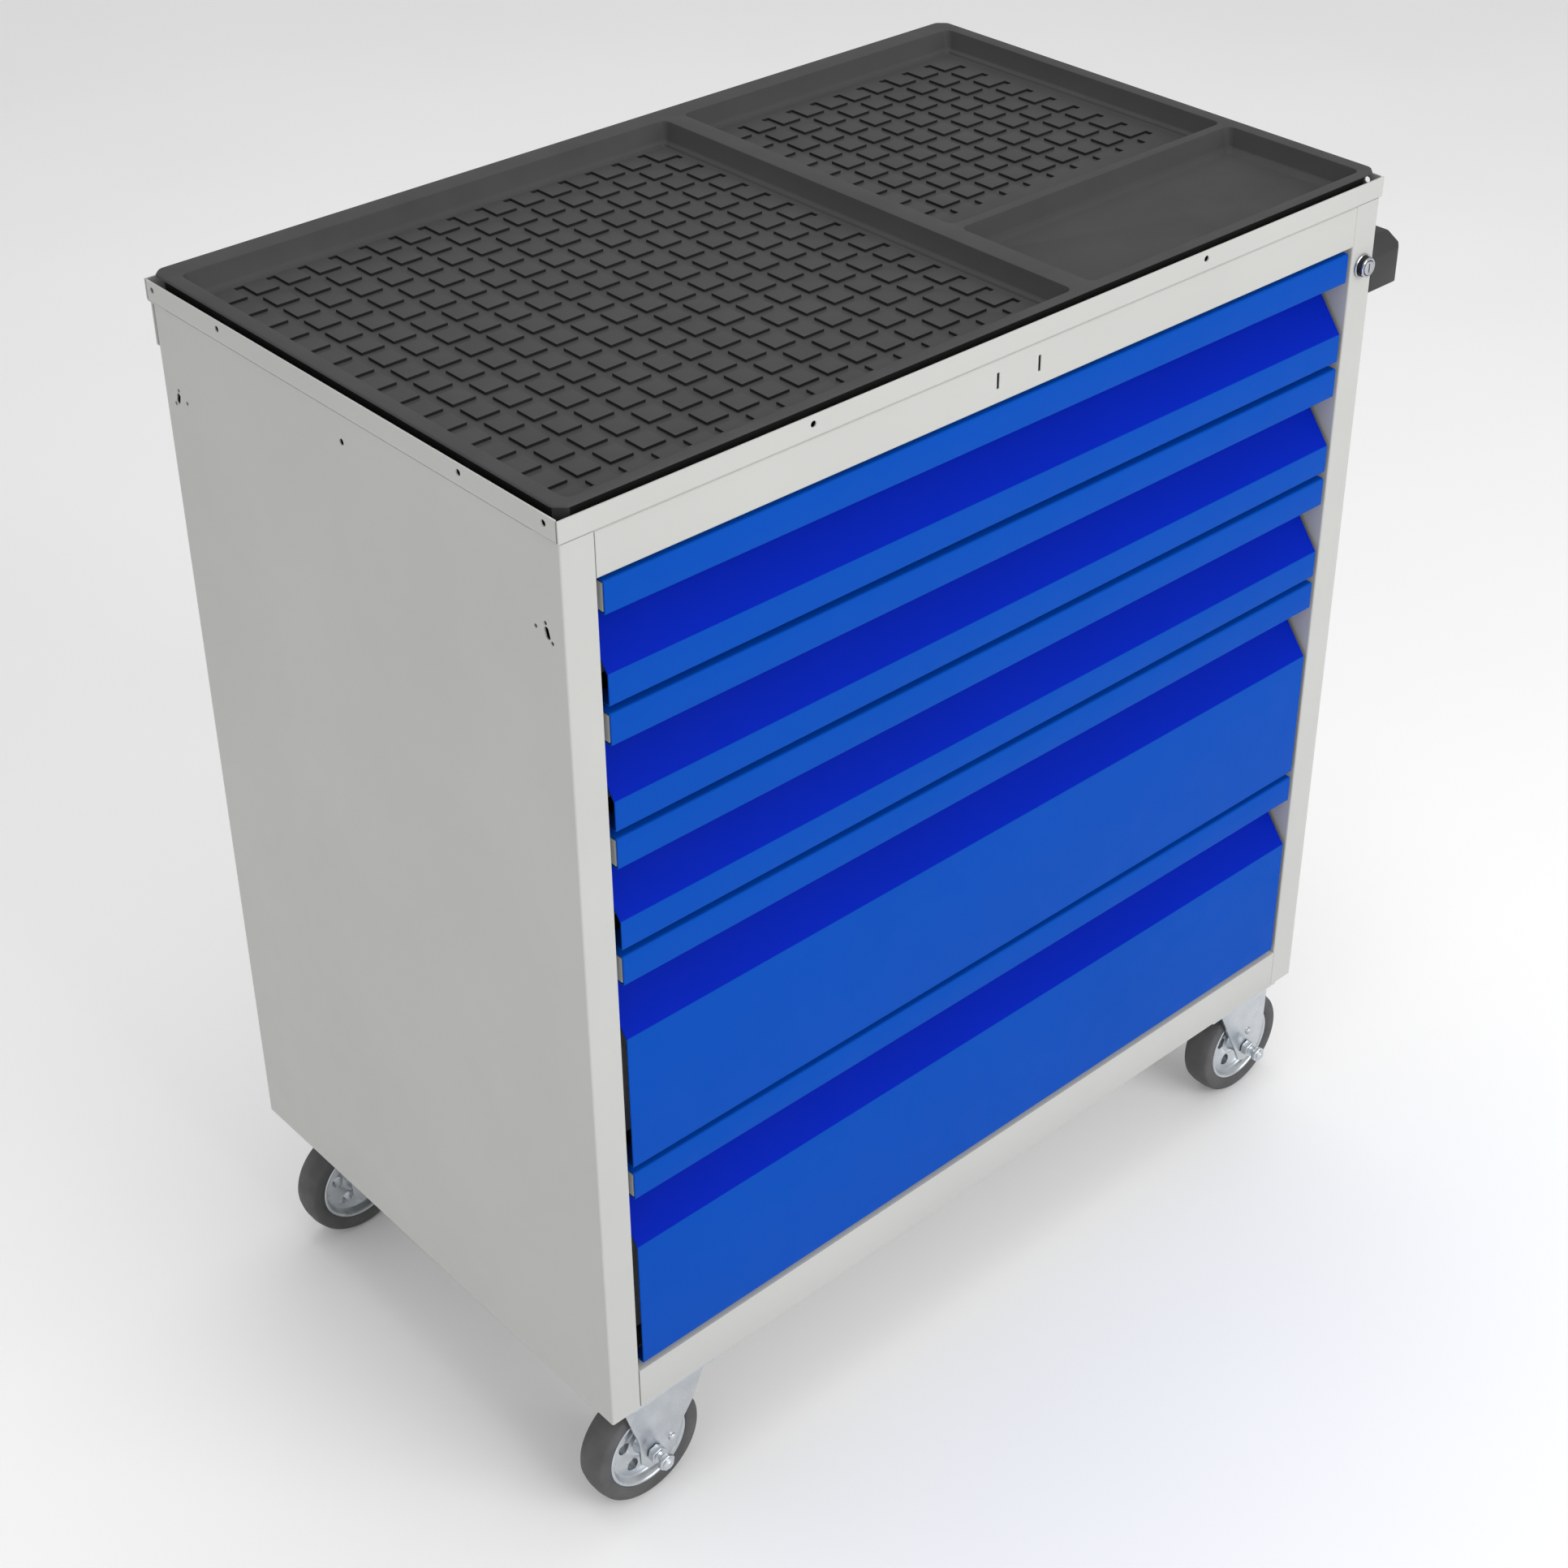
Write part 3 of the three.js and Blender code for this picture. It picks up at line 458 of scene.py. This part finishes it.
def fixing_cuts(x, mirrored):
    """A slanting slot and the pin holes round it, for a push handle."""
    y = REAR - FIXING_Y if mirrored else FRONT + FIXING_Y
    way = -1 if mirrored else 1
    ends = (x - CUT_REACH, x + CUT_REACH)
    slot = rounded_outline(
        [(y - way * 3.4 * MM, FIXING_Z - 3.6 * MM), (y + way * 1.0 * MM, FIXING_Z - 4.6 * MM),
         (y + way * 3.4 * MM, FIXING_Z + 3.6 * MM), (y - way * 1.0 * MM, FIXING_Z + 4.6 * MM)], 1.8 * MM, 5)
    holes = [rod_solid((0, y + way * dy, FIXING_Z + dz), 1.5 * MM, "x", *ends) for dy, dz in PIN_HOLES]
    return [plate_solid(slot, "x", *ends), *holes]


def side_panel(side):
    """The side, with the front post and the rear fold that are bent out of the same sheet."""
    left = side == "left"
    outer = LEFT if left else RIGHT
    inner = OPENING_LEFT if left else OPENING_RIGHT
    jamb = 46 * MM
    path = [(inner, FRONT + jamb), (inner, FRONT), (outer, FRONT)]
    path += [(outer, REAR), (inner, REAR), (inner, REAR - jamb)]
    if not left:
        path.reverse()
    middle_at = (0, (FRONT + REAR) / 2, BASE + 722.7 * MM)
    middle = rod_solid(middle_at, 2.4 * MM, "x", outer - CUT_REACH, outer + CUT_REACH)
    cuts = [middle, *fixing_cuts(outer, False), *fixing_cuts(outer, True)]
    if not left:
        low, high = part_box("lock_barrel")
        at = (low + high) / 2
        cuts.append(rod_solid(at, LOCK_HOLE, "y", FRONT - CUT_REACH, FRONT + CUT_REACH, 40))
    folded(f"side_panel_{side}_shown", path, "z", BASE, BODY_TOP, PAINT, "cabinet",
           [f"side_panel_{side}"], bend=0.3 * MM, cuts=cuts)


def front_rails():
    low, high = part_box("top_rail")
    path = [(high.y, low.z), (low.y, low.z), (low.y, high.z), (high.y, high.z)]
    middle = (low.x + high.x) / 2
    slot_z = BASE + 727 * MM
    slots = []
    for x in (middle - 20 * MM, middle + 20 * MM):
        slots.append(box_solid((x - 1.2 * MM, FRONT - 2 * MM, slot_z - 6 * MM),
                               (x + 1.2 * MM, FRONT + 3 * MM, slot_z + 6 * MM)))
    meet = 0.27 * MM
    folded("top_rail_shown", path, "x", low.x - meet, high.x + meet, PAINT, "cabinet",
           ["top_rail"], cuts=slots)
    refined("floor_pan", PAINT, 0.2 * MM)


def back():
    low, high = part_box("back_panel")
    path = [(low.x, low.y), (low.x, high.y), (high.x, high.y), (high.x, low.y)]
    folded("back_panel_shown", path, "z", low.z, high.z, PAINT, "cabinet", ["back_panel"])
    refined("rear_top_rail", PAINT, 0.5 * MM)


LIP_HOLE = 2.3 * MM
PAN_EDGE = 26 * MM       # how far each lip's sheet runs in under the tray
FLOOR_INSET = 20 * MM    # the floor sheet behind the lips' outsides


def worktop_pan():
    """Floor sheet and four upturned lips, each rounded where it is bent up and open at its ends."""
    low, high = PAN_LOW, PAN_HIGH
    hole_z = high.z - 6.4 * MM
    gap = 2.4 * MM
    across = ("x", low.x, high.x)
    along = ("y", low.y + gap, high.y - gap)
    sides = {
        "front": ([(low.y + PAN_EDGE, low.z), (low.y, low.z), (low.y, high.z)], *across),
        "rear": ([(high.y, high.z), (high.y, low.z), (high.y - PAN_EDGE, low.z)], *across),
        "left": ([(low.x + PAN_EDGE, low.z), (low.x, low.z), (low.x, high.z)], *along),
        "right": ([(high.x, high.z), (high.x, low.z), (high.x - PAN_EDGE, low.z)], *along),
    }
    holes = {
        "front": [rod_solid(((low.x + high.x) / 2 + x, 0, hole_z), LIP_HOLE, "y", low.y - gap, low.y + gap)
                  for x in (-187.5 * MM, 187.5 * MM)],
        "rear": [],
    }
    for side, x in (("left", low.x), ("right", high.x)):
        places = (FRONT + 13 * MM, FRONT + 98 * MM, REAR - 88 * MM, REAR - 3 * MM)
        holes[side] = [rod_solid((0, y, hole_z), LIP_HOLE, "x", x - gap, x + gap) for y in places]
    for side, (path, axis, start, end) in sides.items():
        folded(f"pan_lip_{side}", path, axis, start, end, PAINT, "cabinet",
               cuts=holes[side], bend=1.0 * MM)
    verts, faces = box_solid((low.x + FLOOR_INSET, low.y + FLOOR_INSET, low.z),
                             (high.x - FLOOR_INSET, high.y - FLOOR_INSET, low.z + SHEET))
    sheet = finish_mesh("pan_floor", verts, faces, PAINT, "cabinet", ["worktop_pan"])
    soften(sheet, 0.2 * MM, 1)


# ---------------------------------------------------------------- tool tray
TRAY_RIM = 12.5 * MM
TRAY_FRONT_RIM = 8.125 * MM
TRAY_REAR_RIM = 20 * MM
LEFT_WIDTH = 434 * MM
DIVIDER = 19 * MM
FRONT_DEPTH = 126 * MM
CROSS = 9 * MM
POCKET = 17.5 * MM
GROOVE = 7.5 * MM
GROOVE_DEPTH = 2.2 * MM
TILE_PITCH = 25.9 * MM
FLOOR_START = 9.0 * MM                    # from the rim to the edge of a gridded floor

# A compartment's wall in mm: in from the rim, down, and the radius of its corners.
WALL = [(-1.6, 0, 7), (-0.5, 0.35, 6.5), (0, 1.6, 6), (3.2, 13.6, 5), (3.9, 14.6, 5), (6.3, 15.2, 4)]
LEDGE_FOOT = [(6.9, 15.8, 4), (7.6, 17.2, 3), (8.4, 17.5, 1.2)]
SOFT_FOOT = [(7.2, 15.6, 4), (9.4, 17.1, 3.5), (10.2, 17.5, 3)]
# The tray's outside in mm: in from its edge and down.
OUTSIDE = [(1.6, 0), (0.7, 0.2), (0.15, 0.7), (0, 1.3), (0.3, 1.9), (3.6, 2.1), (4.0, 2.6)]


def rounded_rectangle(x, y, radius, z, steps=6):
    corners = [(x[0], y[0]), (x[1], y[0]), (x[1], y[1]), (x[0], y[1])]
    return [Vector((p.x, p.y, z)) for p in rounded_outline(corners, radius, steps)]


def chamfered_rectangle(x, y, size, radius, z):
    corners = []
    places = ((x[0], y[0], 1, 1), (x[1], y[0], -1, 1), (x[1], y[1], -1, -1), (x[0], y[1], 1, -1))
    for cx, cy, sx, sy in places:
        pair = [(cx, cy + sy * size), (cx + sx * size, cy)]
        corners += pair if sx * sy > 0 else pair[::-1]
    return [Vector((p.x, p.y, z)) for p in rounded_outline(corners, radius, 3)]


class TrayBuilder:
    """One mesh made of rings of points and the skins between them."""

    def __init__(self):
        self.mesh = bmesh.new()

    def ring(self, points):
        return [self.mesh.verts.new(p) for p in points]

    def skin(self, below, above):
        count = len(below)
        for i in range(count):
            k = (i + 1) % count
            self.mesh.faces.new((below[i], below[k], above[k], above[i]))

    def fill(self, *rings):
        edges = []
        for ring in rings:
            for a, b in zip(ring, ring[1:] + ring[:1]):
                edges.append(self.mesh.edges.get((a, b)) or self.mesh.edges.new((a, b)))
        bmesh.ops.triangle_fill(self.mesh, use_beauty=True, use_dissolve=False, edges=edges, normal=(0, 0, 1))


def stops(edge_low, edge_high, start, first, tiles):
    """Where a compartment's grooves start and stop along one way, with the kind of each stretch."""
    marks = [(edge_low, start, "border"), (start, first - GROOVE, "tile")]
    for i in range(tiles):
        corner = first + i * TILE_PITCH
        marks.append((corner - GROOVE, corner, "groove"))
        marks.append((corner, corner + TILE_PITCH - GROOVE, "tile"))
    marks.append((marks[-1][1], edge_high, "border"))
    return marks


def groove_grid(tray, across, along, z):
    """The compartment floor: square tiles between sunk grooves that end before the walls."""
    verts = {}

    def vertex(x, y, level):
        key = (round(x, 6), round(y, 6), level)
        if key not in verts:
            verts[key] = tray.mesh.verts.new((x, y, z - level * GROOVE_DEPTH))
        return verts[key]

    def face(*corners):
        tray.mesh.faces.new([vertex(*corner) for corner in corners])

    def sunk(i, k):
        if not (0 <= i < len(across) and 0 <= k < len(along)):
            return 0
        kinds = (across[i][2], along[k][2])
        return int("groove" in kinds and "border" not in kinds)

    for i, (x0, x1, _) in enumerate(across):
        for k, (y0, y1, _) in enumerate(along):
            level = sunk(i, k)
            face((x0, y0, level), (x1, y0, level), (x1, y1, level), (x0, y1, level))
            if i and sunk(i - 1, k) != level:
                face((x0, y0, 0), (x0, y1, 0), (x0, y1, 1), (x0, y0, 1))
            if k and sunk(i, k - 1) != level:
                face((x0, y0, 0), (x1, y0, 0), (x1, y0, 1), (x0, y0, 1))
    xs = [across[0][0]] + [mark[1] for mark in across]
    ys = [along[0][0]] + [mark[1] for mark in along]
    outline = [(x, ys[0]) for x in xs] + [(xs[-1], y) for y in ys[1:]]
    outline += [(x, ys[-1]) for x in reversed(xs[:-1])] + [(xs[0], y) for y in reversed(ys[1:-1])]
    return [vertex(x, y, 0) for x, y in outline]


def compartment(tray, x, y, top, grid):
    """The walls from the rim down to a narrow ledge and the floor, plain or gridded."""
    rings = []
    for inset, down, radius in WALL + (LEDGE_FOOT if grid else SOFT_FOOT):
        i = inset * MM
        outline = rounded_rectangle((x[0] + i, x[1] - i), (y[0] + i, y[1] - i), radius * MM, top - down * MM)
        rings.append(tray.ring(outline))
    for above, below in zip(rings, rings[1:]):
        tray.skin(below, above)
    if grid:
        across = stops(x[0] + FLOOR_START, x[1] - FLOOR_START, *grid[0])
        along = stops(y[0] + FLOOR_START, y[1] - FLOOR_START, *grid[1])
        tray.fill(rings[-1], groove_grid(tray, across, along, top - POCKET))
    else:
        tray.mesh.faces.new(rings[-1])
    return rings[0]


def tool_tray():
    """Three compartments under one rim that stands over a thin skirt; the skirt and the groove walls are
    painted near-black as painted shade.
    """
    low, high = TRAY_LOW, TRAY_HIGH
    x0 = low.x + TRAY_RIM
    x1 = x0 + LEFT_WIDTH
    x2 = x1 + DIVIDER
    x3 = high.x - TRAY_RIM
    y0 = low.y + TRAY_FRONT_RIM
    y1 = y0 + FRONT_DEPTH
    y3 = high.y - TRAY_REAR_RIM
    tray = TrayBuilder()
    left_grid = [(low.x + 29.8 * MM, low.x + 53.9 * MM, 15), (low.y + 35.4 * MM, low.y + 52.0 * MM, 15)]
    rear_grid = [(low.x + 489 * MM, low.x + 513.8 * MM, 9), (low.y + 184.5 * MM, low.y + 200.8 * MM, 9)]
    holes = [
        compartment(tray, (x0, x1), (y0, y3), high.z, left_grid),
        compartment(tray, (x2, x3), (y0, y1), high.z, None),
        compartment(tray, (x2, x3), (y1 + CROSS, y3), high.z, rear_grid),
    ]
    outer = []
    height = (high.z - low.z) / MM
    for inset, down in OUTSIDE + [(OUTSIDE[-1][0], height)]:
        i = inset * MM
        x = (low.x + i, high.x - i)
        y = (low.y + i, high.y - i)
        outer.append(tray.ring(chamfered_rectangle(x, y, 7 * MM, 5 * MM, high.z - down * MM)))
    for above, below in zip(outer, outer[1:]):
        tray.skin(below, above)
    tray.fill(outer[0], *holes)
    tray.mesh.faces.new(outer[-1])
    bmesh.ops.recalc_face_normals(tray.mesh, faces=tray.mesh.faces)
    mesh = bpy.data.meshes.new("tool_tray_shown")
    tray.mesh.to_mesh(mesh)
    tray.mesh.free()
    piece = bpy.data.objects.new("tool_tray_shown", mesh)
    bpy.context.scene.collection.objects.link(piece)
    mesh.materials.append(TRAY)
    mesh.materials.append(TRAY_PAINTED_SHADE)
    bed = high.z - POCKET
    # Groove walls and the skirt under the rim get the near-black plastic as painted shade.
    for face in mesh.polygons:
        upright = abs(face.normal.z) < 0.3
        sunk = face.center.z < bed - 0.1 * MM and face.center.z > bed - GROOVE_DEPTH
        edge = max(abs(face.center.x - (low.x + high.x) / 2) - (high.x - low.x) / 2,
                   abs(face.center.y - (low.y + high.y) / 2) - (high.y - low.y) / 2)
        below_rim = edge > -4.4 * MM and face.center.z < high.z - 1.95 * MM
        if (upright and sunk) or below_rim:
            face.material_index = 1
    soften(piece, 0.3 * MM, 2, 60)
    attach(piece, "cabinet")
    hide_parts("tool_tray")


# ---------------------------------------------------------------- drawers
STRIP = 24.4 * MM
SLOPE_RISE = 34 * MM
SHALLOW_DROP = 67 * MM
DEEP_DROP = 70.8 * MM
HEM = 9 * MM


def drawer_front(number):
    """One folded sheet: foot, face, sloping pocket, back of the pocket, strip and hem."""
    low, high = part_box(f"drawer_{number}_front")
    height = high.z - low.z
    drop = DEEP_DROP if height > 0.12 else SHALLOW_DROP
    foot = high.z - drop
    pocket = high.y - SHEET
    path = [
        (low.y + 14 * MM, low.z), (low.y, low.z), (low.y, foot), (pocket, foot + SLOPE_RISE),
        (pocket, high.z - SHEET), (low.y + SHEET, high.z - SHEET), (low.y + SHEET, high.z - STRIP + SHEET),
        (low.y + HEM, high.z - STRIP + SHEET),
    ]
    piece = folded(f"drawer_{number}_front_shown", path, "x", low.x, high.x, [BLUE, POCKET_SHADE_BLUE],
                   f"drawer_{number}", [f"drawer_{number}_front"], bend=0.6 * MM)
    # The sloping pocket and its back are painted a deeper blue as painted shade from the strip that overhangs
    # them.
    for face in piece.data.polygons:
        middle = face.center
        faces_front = face.normal.y < -0.3
        in_shaded_pocket = middle.z > foot + 0.8 * MM and middle.y > low.y + 2.5 * MM and middle.z < high.z - 2 * MM
        if faces_front and in_shaded_pocket:
            face.material_index = 1


def drawer_box(number):
    """The open box and the small plates that close the ends of the strip."""
    refined(f"drawer_{number}_box", BOX_PAINT, 0.45 * MM, 2, 50)
    low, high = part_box(f"drawer_{number}_front")
    for side, x in (("left", low.x), ("right", high.x - SHEET)):
        verts, faces = box_solid((x, low.y + 2 * MM, high.z - STRIP + 2 * MM),
                                 (x + SHEET, high.y - 2.5 * MM, high.z - 2 * MM))
        plate = finish_mesh(f"drawer_{number}_end_plate_{side}", verts, faces, BOX_PAINT,
                            f"drawer_{number}")
        soften(plate, 0.3 * MM)


def slides():
    for name in frame["nodes"]:
        if name.startswith("slide_"):
            refined(name, SLIDE, 0.4 * MM, 2, 50)


# ---------------------------------------------------------------- push handle and lock
def push_handle():
    refined("push_handle", GRIP, 1.6 * MM, 3, 20)


def lock():
    low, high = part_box("lock_barrel")
    at = (low + high) / 2
    center = Vector((at.x, 0, at.z))
    face = low.y
    ring = [(5.9, 1.0), (6.1, 0.2), (6.6, 0), (7.3, 0.1), (7.8, 0.6), (7.9, 1.4), (7.4, 1.6), (5.9, 1.6)]
    sleeve = [(5.9, 1.7), (7.7, 1.7), (8.0, 2.2), (8.0, 31.0), (6.0, 31.0)]
    bezel = [(8.05, 5.2), (8.8, 5.0), (9.4, 5.5), (9.6, 6.2), (9.6, 6.75), (8.05, 6.75)]
    pieces = (
        ("lock_barrel_ring", ring, CHROME, ["lock_barrel"]),
        # The sleeve is painted near-black as a painted reflection on the chrome barrel's side.
        ("lock_barrel_sleeve", sleeve, LOCK_REFLECTION_BLACK, ()),
        ("lock_bezel", bezel, CHROME, ()),
    )
    for name, outline, look, stands_for in pieces:
        lathe(name, profile(outline, face), center, look, "cabinet", stands_for, 64)
    refined("lock_plug", CHROME, 0.35 * MM, 2, 40)
    refined("lock_bar", SLIDE, 0.3 * MM, 1, 40)


# ---------------------------------------------------------------- casters
WINDOWS = 5              # round windows in a rim
WINDOW = 5.2 * MM        # radius of one
WINDOW_OUT = 20.5 * MM   # from the axle to its middle
WINDOW_REACH = 20 * MM   # how far its cutter reaches to each side
NUT = 7.4 * MM           # a nut's middle to its corners
THREADS = 14


def wheel(corner):
    """A tyre with square shoulders on a dished rim, both turned about the axle."""
    low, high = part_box(f"caster_{corner}_tyre")
    center = (low + high) / 2
    body = f"wheel_{corner}"
    radius = (high.z - low.z) / 2 / MM
    half = (high.y - low.y) / 2 / MM
    rim = 36.7
    side = [
        (rim, half - 1.6), (rim + 1.2, half - 0.9), (rim + 2.6, half - 0.2), (rim + 4.5, half),
        (radius - 3.6, half - 0.1), (radius - 2.4, half - 0.7), (radius - 1.4, half - 2.0),
        (radius - 0.35, half - 6.6), (radius, half - 9),
    ]
    tyre = side + [(radius, 0.0)] + [(r, -y) for r, y in reversed(side)]
    lathe(f"caster_{corner}_tyre_shown", profile(tyre), center, RUBBER, body,
          [f"caster_{corner}_tyre"], 128)
    hub = half + 1
    dish = [
        (5.4, hub), (8.4, hub), (9.0, hub - 0.6), (9.4, hub - 6), (10.6, 5.2), (14, 4.2), (17, 5.6),
        (24, 6.4), (28.5, 5.2), (31, 5.4), (32.4, 7), (33.2, half - 2.2), (34.2, half - 1.2),
        (35.6, half - 1.0), (36.4, half - 1.5), (36.5, 4),
    ]
    piece = lathe(f"caster_{corner}_rim_shown", mirrored_profile(dish), center, ZINC, body,
                  [f"caster_{corner}_rim"], 96)
    windows = []
    for i in range(WINDOWS):
        turn = 2 * math.pi * (i + 0.25) / WINDOWS
        place = (center.x + WINDOW_OUT * math.cos(turn), 0, center.z + WINDOW_OUT * math.sin(turn))
        windows.append(rod_solid(place, WINDOW, "y", center.y - WINDOW_REACH, center.y + WINDOW_REACH, 28))
    cut(piece, windows)


def bolt(corner, body):
    """Hex nuts on a threaded axle, with its free end towards the outside."""
    low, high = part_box(f"caster_{corner}_axle")
    at = (low + high) / 2
    center = Vector((at.x, 0, at.z))
    thread = [(0.02, 0.0), (2.6, 0.0), (3.8, 0.8)]
    for i in range(THREADS):
        thread += [(4.8, 1.3 + i), (4.25, 1.8 + i)]
    end = (high.y - low.y) / MM - 1
    thread += [(4.6, 16), (4.6, end), (0.02, end)]
    lathe(f"caster_{corner}_bolt", profile(thread, low.y), center, ZINC, body,
          [f"caster_{corner}_axle"], 32)
    rivet = [(0.02, -2.5), (1.9, -2.2), (3.2, -1.3), (3.6, 0.1), (0.02, 0.1)]
    beside, above = (18, 2) if corner.endswith("left") else (2.5, 17)
    spot = center + Vector((beside * MM, 0, above * MM))
    leg = low.y + 19.3 * MM
    lathe(f"caster_{corner}_rivet", profile(rivet, leg), spot, ZINC, body, (), 28)
    parts = (
        ("lock_nut", low.y + 2.4 * MM, 4.6 * MM),
        ("nut", low.y + 12.2 * MM, 6.6 * MM),
        ("head", high.y - 5.4 * MM, 5.4 * MM),
    )
    turns = [math.pi * (i + 0.3) / 3 for i in range(6)]
    hexagon = [(center.x + NUT * math.cos(turn), center.z + NUT * math.sin(turn)) for turn in turns]
    for label, start, depth in parts:
        verts, faces = plate_solid(hexagon, "y", start, start + depth)
        piece = finish_mesh(f"caster_{corner}_{label}", verts, faces, ZINC, body)
        soften(piece, 0.9 * MM, 3, 30)


def casters():
    """Rigid on the left, swivelling on the right."""
    for corner in CASTERS:
        wheel(corner)
        left = corner.endswith("left")
        body = "cabinet" if left else f"swivel_{corner}"
        bolt(corner, body)
        if left:
            refined(f"caster_{corner}_bracket", ZINC, 1.0 * MM, 3, 40)
        else:
            refined(f"caster_{corner}_fork", ZINC, 1.0 * MM, 3, 40)
            refined(f"caster_{corner}_plate", ZINC, 0.7 * MM, 2, 40)


# ---------------------------------------------------------------- floor, lights and camera
def stage():
    mesh = bpy.data.meshes.new("floor")
    reach = 12
    corners = [(-reach, -reach, 0), (reach, -reach, 0), (reach, reach, 0), (-reach, reach, 0)]
    mesh.from_pydata(corners, [], [(0, 1, 2, 3)])
    floor = bpy.data.objects.new("floor", mesh)
    bpy.context.scene.collection.objects.link(floor)
    pale, shader = new_material("floor_paint", (0.94, 0.94, 0.94), 0.9)
    vary_color(pale, shader, noise(pale, 2, 3), (0.93, 0.93, 0.93), (0.95, 0.95, 0.95))
    mesh.materials.append(pale)


def area_light(name, place, aim, size, power):
    data = bpy.data.lights.new(name, "AREA")
    data.shape = "RECTANGLE"
    data.size = size
    data.size_y = size
    data.energy = power
    lamp = bpy.data.objects.new(name, data)
    lamp.location = place
    lamp.rotation_euler = (Vector(aim) - Vector(place)).to_track_quat("-Z", "Y").to_euler()
    bpy.context.scene.collection.objects.link(lamp)


def lights():
    world = bpy.data.worlds.new("studio")
    world.use_nodes = True
    world.node_tree.nodes["Background"].inputs["Color"].default_value = (1, 1, 1, 1)
    world.node_tree.nodes["Background"].inputs["Strength"].default_value = 0.62
    bpy.context.scene.world = world
    middle = (0, 0, 0.45)
    area_light("key", (0.6, -3.4, 2.0), middle, 2.6, 73)
    area_light("fill", (-3.2, -1.2, 1.8), middle, 2.2, 15)
    area_light("top", (0.3, 0.2, 3.4), middle, 2.4, 30)


def camera():
    """Looks down over the front left corner."""
    azimuth = math.radians(-41.43)
    elevation = math.radians(31.62)
    distance = 2.119
    aim = Vector((-0.003, 0.028, 0.532))
    flat = math.cos(elevation)
    away = Vector((math.sin(azimuth) * flat, -math.cos(azimuth) * flat, math.sin(elevation)))
    data = bpy.data.cameras.new("camera")
    data.sensor_width = 36
    data.lens = 60.7
    data.shift_y = -0.10
    eye = bpy.data.objects.new("camera", data)
    eye.location = aim + away * distance
    roll = Quaternion((0, 0, 1), math.radians(-0.59))
    eye.rotation_euler = ((-away).to_track_quat("-Z", "Y") @ roll).to_euler()
    bpy.context.scene.collection.objects.link(eye)
    bpy.context.scene.camera = eye
    bpy.context.scene.view_settings.view_transform = "Standard"


# ---------------------------------------------------------------- assembly
camera()
side_panel("left")
side_panel("right")
front_rails()
back()
worktop_pan()
tool_tray()
for drawer in DRAWERS:
    drawer_front(drawer)
    drawer_box(drawer)
slides()
push_handle()
lock()
casters()
stage()
lights()
